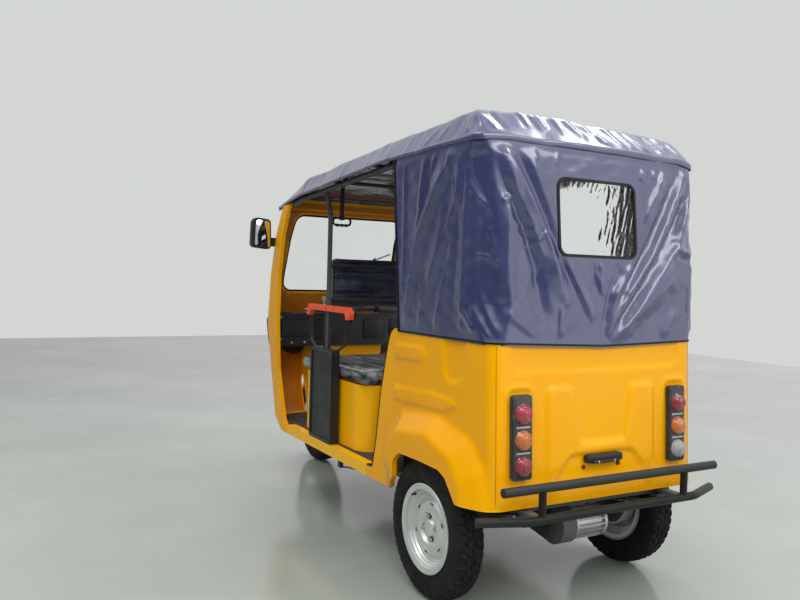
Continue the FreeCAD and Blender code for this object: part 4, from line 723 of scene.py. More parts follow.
plans = [tub_plan(z) for z in tub_zs]
half_x = np.array([plan[0] for plan in plans])
half_y = np.array([plan[1] for plan in plans])
half_z = np.tile(tub_zs[:, None], (1, half_x.shape[1]))
side_out = blurred(flare_relief(half_y, half_z), 8) + blurred(side_relief(half_y, half_z), 2)
half_x = half_x + side_out
rear_x, rear_z = np.meshgrid(rear_xs, tub_zs)
rear_back = rear_y(rear_z) + blurred(rear_relief(rear_x, rear_z), 2)
half_points = joined(half_x, half_y, half_z)
rear_points = joined(rear_x, rear_back, rear_z)
tub_points = np.concatenate([half_points, rear_points, half_points[:, ::-1] * (-1, 1, 1)], axis=1)
outline = [(-562, 331), (-372, 334), (-330, 338), (-301, 345), (-222, 405), (-222, TUB_LOW), (900, TUB_LOW),
           (900, SEAM_HIGH + 1)] + DOOR_EDGE
half_at = joined(half_y, half_z)
half_keep = np.minimum(signed(half_at, outline), -signed(half_at, rounded_line(ARCH, ARCH_ROUND)))
rear_keep = np.minimum(rear_z - TUB_LOW, SEAM_HIGH + 1 - rear_z)
tub_keep = np.concatenate([half_keep, rear_keep, half_keep[:, ::-1]], axis=1)
tub = Form()
tub.add(*clipped(tub_points, tub_keep))


def side_point(y, z, out=0.0):
    """A point on the tub's left side, moved out by a little."""
    row = float(np.interp(z, tub_zs, np.arange(len(tub_zs))))
    low = min(int(row), len(tub_zs) - 2)
    here = [np.interp(y, half_y[k], side_out[k]) for k in (low, low + 1)]
    return (SIDE_X + here[0] + (here[1] - here[0]) * (row - low) + out, y, z)


# the edge turned inwards along the doorway, the arch and the lower edge
EDGE_DEEP = 22
door_line = rounded_line(DOOR_EDGE, [0, 10, 20, 20, 30, 30, 80, 80, 80, 12, 6, 0], closed=False)
door_line = even_line(door_line, 10)
arch_line = rounded_line([(-562, 331), (-372, 334), (-301, 345)] + ARCH[2:-1] + [(288, TUB_LOW)],
                         [0, 30, 5] + ARCH_ROUND[2:-2] + [26, 0], closed=False)
arch_line = even_line(arch_line, 8)
lower_y = np.concatenate([np.linspace(288, rear_y(TUB_LOW) - CORNER, 8),
                          rear_y(TUB_LOW) - CORNER + CORNER * np.sin(corner_angles)])
lower_x = np.concatenate([np.full(8, float(SIDE_X)), SIDE_X - CORNER + CORNER * np.cos(corner_angles)])
lower_x = lower_x + flare_relief(lower_y, np.full(len(lower_y), float(TUB_LOW)))
for side in (1, -1):
    for line in (door_line, arch_line):
        edge = [side_point(y, z) for y, z in line]
        strip = [(side * (x - step), y, z) for x, y, z in edge for step in (0, EDGE_DEEP)]
        tub.add(strip, grid_faces(len(edge), 2))
    strip = [(side * x * share, y * share, TUB_LOW) for x, y in zip(lower_x, lower_y) for share in (1, 0.95)]
    tub.add(strip, grid_faces(len(lower_x), 2))
rear_strip = [(x, y, TUB_LOW) for x in (444, -444) for y in (rear_y(TUB_LOW), rear_y(TUB_LOW) - 20)]
tub.add(rear_strip, [(0, 1, 3, 2)])
piece("tub_skin", tub, [YELLOW],
      replaces=("side_panel_left", "side_panel_right", "rear_panel"), smooth=60)

# Inner faces of the tub's walls, seen through the doorways
lining = Form()
wall_outline = [(-505, 386), (-472, 560), (-440, 720), (-400, 880), (-365, 975), (-312, 1000), (-262, 990),
                (318, 990), (318, 640), (262, 640), (200, 560), (-200, 560), (-310, 470), (-310, 386)]
wall_y, wall_z = np.meshgrid(np.linspace(-505, 320, 60), np.linspace(386, 990, 40))
wall_points = joined(np.full_like(wall_y, SIDE_X - 20.0), wall_y, wall_z)
wall_keep = signed(joined(wall_y, wall_z), wall_outline)
lining.add(*clipped(wall_points, wall_keep)).mirrored()
rear_wall_x, rear_wall_z = np.meshgrid(np.linspace(-466, 466, 30), np.linspace(430, 990, 20))
rear_wall = joined(rear_wall_x, rear_y(rear_wall_z) - 20, rear_wall_z)
lining.grid(rear_wall)
piece("tub_lining", lining, [YELLOW], smooth=60)

# Black rubber trim along the doorway and along the seam under the canopy
trim = Form()
for side in (1, -1):
    line = [np.array(side_point(y, z)) * (side, 1, 1) - (side * 8, 0, 0) for y, z in door_line]
    sweep(trim, line, [(-3, -11), (3, -11), (3.6, 8), (2, 10), (-2, 10), (-3.6, 8)], up=(side, 0, 0))


def seam_line(out, sag):
    """The line under the canopy: left side, rear and right side, with a dip in the middle of the rear."""
    back = rear_y(SEAM_HIGH)
    rise = 4
    left = [(SIDE_X + out, y, SEAM_HIGH + rise * min(1, max(0, y + 296) / 500))
            for y in np.linspace(-296, back - CORNER, 24)]
    for angle in np.linspace(0, math.pi / 2, 9)[1:-1]:
        left.append((SIDE_X - CORNER + (CORNER + out) * math.cos(angle),
                     back - CORNER + (CORNER + out) * math.sin(angle), SEAM_HIGH + rise))
    middle = []
    for x in np.linspace(444, -444, 41):
        dip = sag * max(0, 1 - abs(x + 12) / 430) ** 0.9
        middle.append((x, back + out, SEAM_HIGH + rise - dip - (4 if x < 0 else 0) * abs(x) / 444))
    right_side = [(-x, y, z - 4) for x, y, z in reversed(left)]
    return np.array(left + middle + right_side)


sweep(trim, seam_line(3.0, 15), [(-2, -3.5), (2, -3.5), (3, 0), (2, 3.5), (-2, 3.5), (-3, 0)])
piece("tub_trim", trim, [BLACK_RUBBER], smooth=50)

# Parting lines where the rear moulding meets the sides
parting = Form()
angle = math.radians(56)
line = [(SIDE_X - CORNER + (CORNER + 0.1) * math.cos(angle),
         rear_y(z) - CORNER + (CORNER + 0.1) * math.sin(angle), z) for z in np.linspace(432, 990, 60)]
sweep(parting, line, ring(1.0, 6))
parting.mirrored()
piece("tub_parting", parting, [PARTING], smooth=50)


# The canopy's roof: one sheet with a hem hanging over the sides and the rear. Its sections along y:
# y, edge x, edge z, shoulder x, shoulder z, flat x, flat z, lift of the left side, lift of the right
ROOF = np.array([
    (288, 534, 1712, 508, 1716, 430, 1720, 6, -6),
    (205, 533, 1706, 480, 1812, 400, 1820, 8, -12),
    (-411, 531, 1702, 472, 1790, 390, 1804, 3, 0),
    (-1412, 506, 1642, 452, 1731, 360, 1746, 2, 0),
    (-1790, 478, 1604, 436, 1637, 320, 1660, 0, 0)], float)[::-1]
BOWS = np.array((205, -411, -900, -1412, -1790), float)
ROOF_REAR = 288
ROOF_ROUND = 34
ACROSS = (14, 10, 46)


def roof_row(y):
    """The roof's section at y: its corner points, eased over a short length."""
    near = [y - 12, y, min(y + 12, ROOF_REAR)] if y < ROOF_REAR - 40 else [y]
    return np.array([np.mean(np.interp(near, ROOF[:, 0], ROOF[:, k])) for k in range(1, 9)])


def roof_section(y):
    """Points (x, z) across the roof from the left edge to the right edge."""
    edge_x, edge_z, shoulder_x, shoulder_z, flat_x, flat_z, left, right = roof_row(y)
    past = max(0.0, y - (ROOF_REAR - ROOF_ROUND))
    shrink = ROOF_ROUND - math.sqrt(ROOF_ROUND ** 2 - past ** 2)
    corners = np.array([(edge_x - shrink, edge_z), (shoulder_x - shrink, shoulder_z), (flat_x, flat_z + 1),
                        (0.0, flat_z + 5)])
    half = [np.linspace(a, b, count, endpoint=False) for a, b, count in zip(corners, corners[1:], ACROSS)]
    half = np.concatenate(half)
    sag = 7 * (1 - math.exp(-np.min(np.abs(BOWS - min(y, BOWS[0]))) / 150))
    half[:, 1] -= sag * np.clip((edge_x - half[:, 0]) / 50, 0, 1)
    middle = [(0.0, flat_z + 5 - sag)]
    right_half = half[::-1] * (-1, 1)
    section = np.concatenate([half, middle, right_half])
    section[:, 1] += np.where(section[:, 0] > 0, left, right) * np.abs(section[:, 0]) / 534
    for _ in range(2):
        section[1:-1] = (section[:-2] + 2 * section[1:-1] + section[2:]) / 4
    return section


def crease(at, line, height, left, right, sharp=1.15):
    """A fold along a line: a sharp ridge that falls to each side over its own width."""
    line = np.asarray(line, float)
    best = np.full(at.shape[:-1], 1e9)
    value = np.zeros(at.shape[:-1])
    total = np.sum(np.linalg.norm(np.diff(line, axis=0), axis=1))
    gone = 0.0
    for a, b in zip(line[:-1], line[1:]):
        ab = b - a
        long = np.linalg.norm(ab)
        share = np.clip(((at - a) @ ab) / (long * long), 0, 1)
        off = at - a - share[..., None] * ab
        far = np.linalg.norm(off, axis=-1)
        side = ab[0] * (at[..., 1] - a[1]) - ab[1] * (at[..., 0] - a[0])
        width = np.where(side > 0, left, right)
        along = (gone + share * long) / total
        taper = np.clip(np.minimum(along, 1 - along) * 5, 0, 1) ** 0.7
        here = height * np.clip(1 - far / width, 0, 1) ** sharp * taper
        closer = far < best
        value = np.where(closer, here, value)
        best = np.minimum(best, far)
        gone += long
    return value


def folded(at, folds):
    """The relief of many folds together."""
    return sum(crease(at, line, height, left, right) for line, height, left, right in folds)


def waves(a, b, seed, size, count=14):
    """Smooth random waves over two coordinates, the same each time."""
    rng = np.random.default_rng(seed)
    total = np.zeros_like(a)
    for _ in range(count):
        angle = rng.uniform(0, math.pi)
        length = size * rng.uniform(0.6, 1.9)
        phase = rng.uniform(0, 2 * math.pi)
        total += np.sin((a * math.cos(angle) + b * math.sin(angle)) * 2 * math.pi / length + phase)
    return total / math.sqrt(count)


def normals(points):
    """Unit normals of a grid of points, turned outwards by the caller."""
    across = np.gradient(points, axis=1)
    along = np.gradient(points, axis=0)
    normal = np.cross(across, along)
    return normal / np.maximum(np.linalg.norm(normal, axis=-1), 1e-9)[..., None]


# Folds of the rear slope: line (x, y), height, widths to its left and right
SLOPE_FOLDS = [
    ([(306, 192), (286, 247)], 5, 12, 22), ([(312, 205), (303, 262)], -4, 12, 16),
    ([(226, 196), (203, 255)], 6, 12, 24), ([(256, 198), (224, 262)], 4, 10, 20),
    ([(104, 206), (26, 266)], 6, 14, 26), ([(20, 210), (-96, 286)], 6, 14, 30),
    ([(-18, 206), (-36, 276)], -4, 12, 20), ([(-150, 208), (-218, 278)], 5, 12, 24),
    ([(-205, 222), (-310, 284)], 5, 14, 26), ([(-365, 212), (-408, 262)], 5, 12, 18),
    ([(-433, 222), (-473, 276)], 5, 12, 18), ([(-290, 214), (-350, 276)], -4, 14, 20),
    ([(440, 214), (400, 282)], -4, 18, 24), ([(488, 208), (495, 266)], 5, 12, 14),
    ([(484, 226), (440, 278)], 5, 12, 18), ([(150, 200), (128, 270)], 4, 12, 18),
    ([(60, 200), (40, 250)], -4, 14, 18), ([(-92, 204), (-160, 280)], 4, 10, 18),
]
# Folds of the side slopes: line (y, z), height, widths
EAVE_FOLDS = [
    ([(-236, 1790), (-214, 1703)], 5, 16, 22), ([(-30, 1784), (-84, 1709)], 5, 18, 24),
    ([(50, 1786), (18, 1724)], 5, 14, 20), ([(132, 1816), (133, 1716)], -5, 20, 20),
    ([(186, 1800), (216, 1726)], 6, 14, 20), ([(-160, 1794), (-136, 1700)], -4, 18, 20),
    ([(-420, 1782), (-360, 1702)], 5, 20, 30), ([(-640, 1768), (-560, 1694)], 4, 24, 30),
    ([(-900, 1748), (-850, 1676)], 5, 20, 28), ([(-1180, 1736), (-1100, 1664)], -5, 26, 30),
    ([(-1420, 1724), (-1370, 1650)], 5, 16, 24), ([(-1610, 1668), (-1540, 1636)], 4, 20, 26),
]
arc_rows = ROOF_REAR - ROOF_ROUND + ROOF_ROUND * np.sin(np.linspace(math.pi / 2, 0, 12))
roof_ys = np.concatenate([arc_rows, np.linspace(ROOF_REAR - ROOF_ROUND, 190, 18)[1:],
                          np.linspace(190, -1790, 200)[1:]])
sections = np.array([roof_section(y) for y in roof_ys])
roof_points = joined(sections[..., 0], np.tile(roof_ys[:, None], (1, sections.shape[1])), sections[..., 1])
roof_x, roof_y, roof_z = roof_points[..., 0], roof_points[..., 1], roof_points[..., 2]
slope_relief = folded(roof_points[..., :2], SLOPE_FOLDS) * np.clip((roof_y - 186) / 16, 0, 1)
slope_relief = slope_relief * np.clip((ROOF_REAR - roof_y) / 14, 0.25, 1)
eave_at = roof_points[..., 1:]
eave_relief = folded(eave_at, EAVE_FOLDS) * np.clip((np.abs(roof_x) - 440) / 26, 0, 1)
eave_relief = eave_relief * np.clip((roof_z - 1640 + (200 - roof_y) * 0.03) / 20, 0, 1)
top_relief = 2.2 * waves(roof_x, roof_y, 3, 240) + 0.8 * waves(roof_x, roof_y, 9, 80)
roof_relief = blurred(slope_relief + eave_relief, 1)
roof_relief = roof_relief + top_relief * np.clip((530 - np.abs(roof_x)) / 60, 0, 1)
roof_out = normals(roof_points)
roof_out = np.where(roof_out[..., 2:] < 0, -roof_out, roof_out)
roof_points = roof_points + roof_out * roof_relief[..., None]
rows, columns = roof_x.shape
roof = Form()
roof.grid(roof_points)
# the hem hangs from the sheet's outer edge: left side, rear, right side
edge_ids = [i * columns for i in range(rows - 1, 0, -1)] + list(range(columns)) + \
    [i * columns + columns - 1 for i in range(1, rows)]
edge_points = roof_points.reshape(-1, 3)[edge_ids]
plan_out = np.stack([np.gradient(edge_points[:, 1]), -np.gradient(edge_points[:, 0])], axis=1)
plan_out /= np.linalg.norm(plan_out, axis=1)[:, None]
along = np.concatenate([[0], np.cumsum(np.linalg.norm(np.diff(edge_points, axis=0), axis=1))])


def add_row(form, points):
    """Put a row of points into a form, without faces, and give their numbers."""
    start = len(form.points)
    form.add(points, [])
    return list(range(start, len(form.points)))


def join_rows(form, id_rows):
    """Faces between rows of points that a form already has."""
    start = len(form.points)
    for upper, lower in zip(id_rows, id_rows[1:]):
        corners = zip(upper, upper[1:], lower[1:], lower)
        form.add([], [tuple(i - start for i in four) for four in corners])


# the hem's steps out and down from the edge; the hem is deeper at the rear
HEM = ((2, 3), (3.2, 8), (3, 14), (3.4, 20), (1.5, 21))
hem_deep = np.interp(edge_points[:, 1], [-1790, 120, 288], [0.8, 0.8, 1.12])
hem_rows = [edge_ids]
for out, down in HEM:
    flutter = (1.0 * np.sin(along / 37) + 0.8 * np.sin(along / 83 + 1)) * down / 21
    shift = np.concatenate([plan_out * (out + 0.5 * flutter[:, None]),
                            -(down * hem_deep + 0.6 * flutter)[:, None]], axis=1)
    hem_rows.append(add_row(roof, edge_points + shift))
front_rows = [[(rows - 1) * columns + k for k in range(columns)]]
front_points = roof_points.reshape(-1, 3)[front_rows[0]]
for back, down in ((-1, 6), (2, 16), (6, 26)):
    front_rows.append(add_row(roof, front_points + (0, back, -down)))
join_rows(roof, front_rows)
join_rows(roof, hem_rows)
roof_sheet = piece("roof_sheet", roof, [CANOPY], replaces=("canopy_roof",), smooth=70)

# The canopy's curtain: one sheet round the sides and the rear, with folds, and the window cut out
CURTAIN_LOW = 990
CURTAIN_HIGH = 1700
# how far the curtain leans for each millimetre of height: outwards at the sides, forwards at the rear
SIDE_SLOPE, BACK_SLOPE = 41 / 696, 64 / 696
SIDE_COUNT, CORNER_COUNT, REAR_COUNT = 96, 34, 76


def curtain_side_x(z):
    """How far out the curtain's side lies at a height."""
    return SIDE_X + 2 + SIDE_SLOPE * (z - SEAM_HIGH)


def curtain_rear_y(z):
    """Where the curtain's rear lies at a height."""
    return rear_y(SEAM_HIGH) + 2 - BACK_SLOPE * (z - SEAM_HIGH)


def curtain_plan(z, side):
    """Plan of one half of the curtain at a height: its side, its corner and half of the rear.

    The cloth is pulled across the left corner in a broad flat, and goes square round the right one."""
    inset = 2.5 * step_up(z - 1672, 30)
    half = curtain_side_x(z) - inset
    back = curtain_rear_y(z) - inset
    heights = (990, 1010, 1130, 1300, 1540, 1640, 1690)
    if side > 0:
        cut_y = np.interp(z, heights, (46, 60, 120, 108, 85, 70, 40))
        cut_x = np.interp(z, heights, (40, 50, 84, 76, 63, 55, 36))
    else:
        cut_y = cut_x = 30
    corners = np.array([(half, -296), (half, back - cut_y), (half - cut_x, back), (0, back)], float)
    counts = (SIDE_COUNT, CORNER_COUNT, REAR_COUNT)
    line = [np.linspace(a, b, count, endpoint=False) for a, b, count in zip(corners, corners[1:], counts)]
    line = np.concatenate(line + [corners[-1:]])
    for _ in range(14):
        line[1:-1] = (line[:-2] + 2 * line[1:-1] + line[2:]) / 4
    return line


SIDE_FOLDS = [
    # line (y, z), height, width in front of and behind it
    ([(236, 1660), (199, 1376), (156, 1023)], 10, 24, 22),
    ([(262, 1646), (236, 1376), (210, 1040)], -8, 26, 30),
    ([(-58, 1680), (-117, 1432), (-156, 1290)], 9, 40, 22),
    ([(150, 1676), (36, 1556), (-86, 1393), (-162, 1233), (-250, 1020)], 22, 40, 74),
    ([(184, 1660), (160, 1518), (30, 1309), (-110, 1093)], 12, 34, 70),
    ([(-20, 1676), (-76, 1480), (-196, 1250), (-268, 1060)], -10, 26, 40),
    ([(92, 1672), (100, 1500), (60, 1330), (-40, 1120)], -9, 50, 40),
    ([(128, 1660), (152, 1400), (96, 1060)], -6, 36, 36),
    ([(166, 1112), (259, 1026)], 9, 20, 26),
    ([(-280, 1676), (-284, 1004)], 3, 10, 12),
    ([(-212, 1680), (-232, 1440), (-270, 1120)], 5, 24, 18),
    ([(70, 1290), (-20, 1010)], 6, 26, 20), ([(-70, 1230), (-140, 1016)], 6, 24, 22),
    ([(20, 1690), (-40, 1560)], 5, 16, 20), ([(120, 1690), (96, 1600)], 5, 14, 18),
]
CORNER_FOLDS = [
    # line (share round the corner in millimetres, z), height, widths
    ([(10, 1560), (60, 1500), (120, 1470)], 7, 20, 22), ([(20, 1305), (90, 1296), (150, 1270)], 6, 12, 26),
    ([(30, 1640), (80, 1560), (140, 1430)], -9, 30, 34),
    ([(110, 1400), (140, 1250), (120, 1100)], 9, 30, 26),
    ([(40, 1180), (90, 1060), (150, 1020)], 8, 26, 26), ([(60, 1440), (70, 1330), (50, 1200)], -6, 30, 30),
    ([(0, 1120), (40, 1040), (60, 1010)], 6, 20, 22),
]
REAR_FOLDS = [
    # line (x, z), height, widths
    ([(436, 1690), (407, 1514), (422, 1308), (431, 1138), (458, 1050)], 12, 46, 50),
    ([(440, 1700), (363, 1573), (288, 1439), (238, 1343), (172, 1120)], 24, 70, 44),
    ([(385, 1695), (319, 1577), (244, 1428), (184, 1317), (110, 1180)], -13, 32, 40),
    ([(466, 1640), (400, 1500), (330, 1372), (300, 1260), (262, 1090)], -12, 34, 30),
    ([(166, 1304), (105, 1191), (44, 1076)], 14, 18, 44),
    ([(412, 1640), (390, 1529), (324, 1416), (292, 1334), (249, 1263)], 9, 26, 36),
    ([(325, 1660), (258, 1540), (210, 1430)], 7, 32, 40),
    ([(-489, 1695), (-367, 1479), (-284, 1343), (-141, 1180), (-24, 1022)], 19, 28, 46),
    ([(-524, 1655), (-418, 1372), (-278, 1212), (-66, 1012)], 17, 26, 50),
    ([(-506, 1610), (-392, 1430), (-230, 1226), (-52, 1020)], -15, 26, 28),
    ([(-469, 1263), (-366, 1222), (-189, 1105), (-36, 1000)], 13, 34, 52),
    ([(-440, 1690), (-330, 1490), (-262, 1380), (-120, 1190), (-20, 1040)], -9, 22, 26),
    ([(-358, 1660), (-271, 1512), (-243, 1440)], 11, 20, 30),
    ([(-182, 1309), (-90, 1179), (-15, 1021)], 12, 22, 34),
    ([(-120, 1309), (-50, 1179), (-12, 1021)], -9, 24, 24),
    ([(-10, 1303), (-4, 1170)], 8, 16, 20), ([(30, 1300), (24, 1190)], -5, 14, 16),
    ([(191, 1130), (199, 1020)], 7, 14, 22),
    ([(260, 1300), (306, 1180), (256, 1050)], -8, 44, 50),
    ([(-405, 1352), (-515, 1336)], 11, 16, 20), ([(-412, 1322), (-520, 1306)], -6, 14, 14),
    ([(-482, 1300), (-470, 1180), (-459, 1072)], 11, 24, 22),
    ([(-240, 1655), (-224, 1608)], 8, 14, 20), ([(-300, 1660), (-290, 1620)], 6, 12, 16),
    ([(400, 1415), (300, 1380)], 7, 14, 18), ([(330, 1330), (250, 1395)], 7, 12, 16),
    ([(440, 1486), (388, 1512)], 7, 16, 18), ([(20, 1260), (-15, 1160)], 5, 14, 16),
    ([(300, 1700), (282, 1640)], 5, 12, 16), ([(180, 1690), (196, 1630)], 4, 12, 14),
    ([(-400, 1120), (-300, 1010)], 9, 30, 34), ([(440, 1110), (300, 1016)], 7, 24, 28),
]
WINDOW = rectangle(-188, 188, 1311, 1590, 34)
curtain_zs = np.linspace(CURTAIN_LOW, CURTAIN_HIGH, 132)
left_plans = np.array([curtain_plan(z, 1) for z in curtain_zs])
right_plans = np.array([curtain_plan(z, -1) for z in curtain_zs])
curtain_plans = np.concatenate([left_plans, right_plans[:, -2::-1] * (-1, 1)], axis=1)
curtain_x, curtain_y = curtain_plans[..., 0], curtain_plans[..., 1]
curtain_z = np.tile(curtain_zs[:, None], (1, curtain_x.shape[1]))
out_x, out_y = np.gradient(curtain_y, axis=1), -np.gradient(curtain_x, axis=1)
out_long = np.hypot(out_x, out_y)
out_x, out_y = out_x / out_long, out_y / out_long
place = np.minimum(np.arange(curtain_x.shape[1]), np.arange(curtain_x.shape[1])[::-1])
on_side = np.clip((SIDE_COUNT + 10 - place) / 16, 0, 1)
on_rear = np.clip((place - SIDE_COUNT - CORNER_COUNT + 12) / 16, 0, 1)
on_corner = np.clip(1.4 - np.abs(place - SIDE_COUNT - CORNER_COUNT / 2) / (CORNER_COUNT / 2), 0, 1)
corner_along = np.tile((place - SIDE_COUNT) * 165 / CORNER_COUNT, (len(curtain_zs), 1))
side_fold = folded(joined(curtain_y, curtain_z), SIDE_FOLDS)
corner_fold = folded(joined(corner_along, curtain_z), CORNER_FOLDS)
window_at = joined(curtain_x, curtain_z)
rear_fold = folded(window_at, REAR_FOLDS)
flat = np.where(curtain_y > 200, np.clip(-signed(window_at, WINDOW) / 40, 0, 1), 1)
edge = np.clip((curtain_z - 996) / 40, 0, 1) * np.clip((1692 - curtain_z) / 40, 0, 1) * np.clip(
    (curtain_y + 293) / 20, 0, 1)
curtain_relief = side_fold * on_side + corner_fold * on_corner + rear_fold * on_rear
curtain_relief = blurred(curtain_relief, 1) + 2.0 * waves(curtain_x - curtain_y, curtain_z * 0.7, 11, 260)
curtain_relief = curtain_relief + 1.0 * waves(curtain_x - curtain_y, curtain_z, 5, 90)
curtain_relief = curtain_relief * edge * flat + 2
# over the posts at the corners the cloth can't sink in
deepest = np.where(place > SIDE_COUNT - 30, -2.0 - 14 * (1 - on_corner), -20.0)
curtain_relief = np.maximum(curtain_relief, deepest)
# the lower hem follows the seam, which dips in the middle of the rear
dip = np.where(curtain_y > 250, 15 * np.clip(1 - np.abs(curtain_x + 12) / 430, 0, 1) ** 0.9, 0)
curtain_z = curtain_z - dip * np.clip(1 - (curtain_z - CURTAIN_LOW) / 90, 0, 1)
curtain_points = joined(curtain_x + out_x * curtain_relief, curtain_y + out_y * curtain_relief, curtain_z)
curtain_keep = np.where(curtain_y > 200, -signed(window_at, WINDOW), 1.0)
curtain = Form()
curtain.add(*clipped(curtain_points, curtain_keep))
curtain_sheet = piece("curtain_sheet", curtain, [CANOPY],
                      replaces=("canopy_curtains",), smooth=70)

# Black binding: round the window and down the curtain's front edges
binding = Form()
line = [(x, curtain_rear_y(z) + 3, z) for x, z in even_line(WINDOW, 8, closed=True)]
sweep(binding, line, [(-5.5, -2), (5.5, -2), (5, 2.5), (-5, 2.5)], closed=True, up=(0, 1, 0))
for side in (1, -1):
    line = [(side * (curtain_side_x(z) + 2), -298, z) for z in np.linspace(992, 1690, 60)]
    sweep(binding, line, [(-5, -4), (5, -4), (5, 4), (-5, 4)], up=(side, 0, 0))
canopy_binding = piece("canopy_binding", binding, [BLACK_RUBBER], smooth=50)

# Rear window: a crinkled clear film
film_x, film_z = np.meshgrid(np.linspace(-190, 190, 120), np.linspace(1309, 1592, 90))
film_keep = signed(joined(film_x, film_z), WINDOW)
streaks = 1.5 * waves(film_x + 0.3 * film_z, film_z * 0.14, 21, 22) + 0.5 * waves(film_x, film_z, 8, 24)
film_share = np.where(film_x > 44, 0.12, 1.0) + 0.3 * np.clip((film_z - 1556) / 20, 0, 1)
film_share = blurred(film_share, 4) * np.clip(film_keep / 25, 0, 1)
film = Form()
film_points = joined(film_x, curtain_rear_y(film_z) + streaks * film_share, film_z)
film.add(*clipped(film_points, film_keep + 1.5))
window_film = piece("window_film", film, [CLEAR_FILM], replaces=("rear_window",),
                    smooth=80)


# Wheels
HALF_TRACK, WHEELBASE, TYRE_RADIUS = 475, 2200, 267
TYRE_LUGS = 48


def tyre_form(centre):
    """A tyre with shoulder lugs, tread blocks and sidewall rings."""
    count = 384
    # half of the section: out from the middle, radius, corner radius
    half = ((46, 153, 0), (44, 165, 4), (52, 180, 10), (56, 207, 40), (54, 236, 40), (46, 257, 16),
            (32, 264, 30))
    section = [(-x, r) for x, r, _ in half] + [(0, 266.5)] + [(x, r) for x, r, _ in half[::-1]]
    corners = [corner for _, _, corner in half]
    line = even_line(rounded_line(section, corners + [120] + corners[::-1], closed=False, steps=4), 5.0)
    across, radius = line[:, 0], line[:, 1]
    angles = np.arange(count) * 2 * math.pi / count
    u, a = np.meshgrid(across, angles)
    r = np.tile(radius, (count, 1))
    tread = np.clip((r - 250) / 8, 0, 1)
    phase = a * TYRE_LUGS / (2 * math.pi)
    zigzag = 3.4 * np.sign(np.sin(phase * 2 * math.pi * 0.5))
    grooves = np.zeros_like(u)
    for at in (-27, -9, 9, 27):
        grooves = np.maximum(grooves, np.exp(-(((u - at - zigzag) / 2.7) ** 2)))
    shift = np.where(np.abs(u) > 27, 0.0, np.where(np.abs(u) > 9, 0.5, 0.25))
    cuts = np.exp(-((((phase + shift) % 1) - 0.5) / 0.15) ** 2)
    cuts = cuts * np.where(np.abs(u) > 27, 1.0, 0.75)
    depth = 8.5 * np.maximum(grooves * 0.9, cuts) * tread
    # the shoulder lugs run a little way down the sidewall
    shoulder = np.clip((r - 226) / 20, 0, 1) * np.clip((np.abs(u) - 44) / 6, 0, 1)
    depth = np.maximum(depth, 7.0 * np.exp(-(((phase % 1) - 0.5) / 0.17) ** 2) * shoulder)
    rings = 1.0 * np.exp(-((r - 222) / 2.2) ** 2) + 1.2 * np.exp(-((r - 186) / 2.6) ** 2) + 0.8 * np.exp(
        -((r - 178) / 1.8) ** 2)
    squash = np.sign(u) * rings * (np.abs(u) > 30)
    r2 = r - depth
    x = centre[0] + u + squash
    y = centre[1] + r2 * np.cos(a)
    z = centre[2] + r2 * np.sin(a)
    form = Form()
    return form.grid(joined(x, y, z), close_rows=True)


def round_axle(centre, out, radius, degrees):
    """A point beside a wheel's centre: out along the axle, then a radius at an angle."""
    angle = math.radians(degrees)
    return np.array(centre, float) + (out, radius * math.cos(angle), radius * math.sin(angle))


def rim_form(centre, side):
    """A pressed steel rim with rolled rings, a dished disc and nuts, seen from one side."""
    form = Form()

    def turned(profile, at, segments, tone=0):
        lathe(form, [(side * x, r) for x, r in profile], at, segments=segments, tone=tone)

    edge = [(-46, 150), (-46, 167), (-52, 168.5), (-52, 163)]
    turned(rounded_line(edge, 2, closed=False, steps=3), centre, 120)
    face = [(46, 151), (47, 166), (52, 168.5), (54, 166), (53, 160), (49, 155), (45, 152), (44, 148),
            (40, 147), (37, 144), (37, 141), (33, 139), (29, 137), (28, 133), (24, 131), (19, 129),
            (17, 124), (13, 119), (12, 114), (14, 110), (20, 104), (27, 96), (31, 88), (33, 80), (34, 72),
            (33, 64), (29, 58), (23, 53), (21, 49), (21, 36), (24, 33), (30, 31), (33, 28), (34, 20),
            (34, 0.5)]
    turned(rounded_line(face, 2.0, closed=False, steps=2), centre, 144)
    # the hub's nuts on a ring, each on its washer
    for k in range(4):
        at = round_axle(centre, side * 21, 44, 90 * k + 12)
        turned([(0, 13), (2, 13), (2.5, 12), (2.5, 0.3)], at, 20, 1)
        turned([(2, 9), (9, 9), (10.5, 7.6), (10.5, 4.8), (15, 4.6), (16, 3.8), (16, 0.3)], at, 6, 2)
    return form


def rim_holes(centre, side):
    """Slots in the rim's disc, drawn as flat faces in painted shade, and the valve."""
    form = Form()
    # each slot is a flat face on the disc in painted shade, not a hole
    for k in range(6):
        angle = math.radians(60 * k + 20)
        c, n = math.cos(angle), math.sin(angle)
        points = [np.array(centre, float) + (side * 30.2, (97 + b) * c - a * n, (97 + b) * n + a * c)
                  for a, b in rectangle(-9, 9, -3.4, 3.4, 3.3, steps=4)]
        form.add(points, [tuple(range(len(points)))])
    valve = [(0, 5.0), (8, 4.6), (16, 3.6), (20, 3.4), (20.4, 0.3)]
    lathe(form, [(side * x, r) for x, r in valve], round_axle(centre, side * 40, 139, 128), segments=16)
    return form


# nodes of the tyre and the rim, body, centre, side of the disc
WHEELS = (
    ("rear_tyre_left", "rear_rim_left", "rear_wheel_left", (HALF_TRACK, 0, TYRE_RADIUS), 1),
    ("rear_tyre_right", "rear_rim_right", "rear_wheel_right", (-HALF_TRACK, 0, TYRE_RADIUS), -1),
    ("front_tyre", "front_rim", "front_wheel", (0, -WHEELBASE, TYRE_RADIUS), 1),
)
RIM_FINISHES = [RIM_SILVER, DARK_GAP, SILVER_METAL]
for tyre_node, rim_node, body, centre, side in WHEELS:
    piece(tyre_node + "_skin", tyre_form(centre), [TYRE], body, (tyre_node,))
    piece(rim_node + "_face", rim_form(centre, side), RIM_FINISHES, body)
    piece(rim_node + "_holes", rim_holes(centre, side), [DARK_GAP], body)


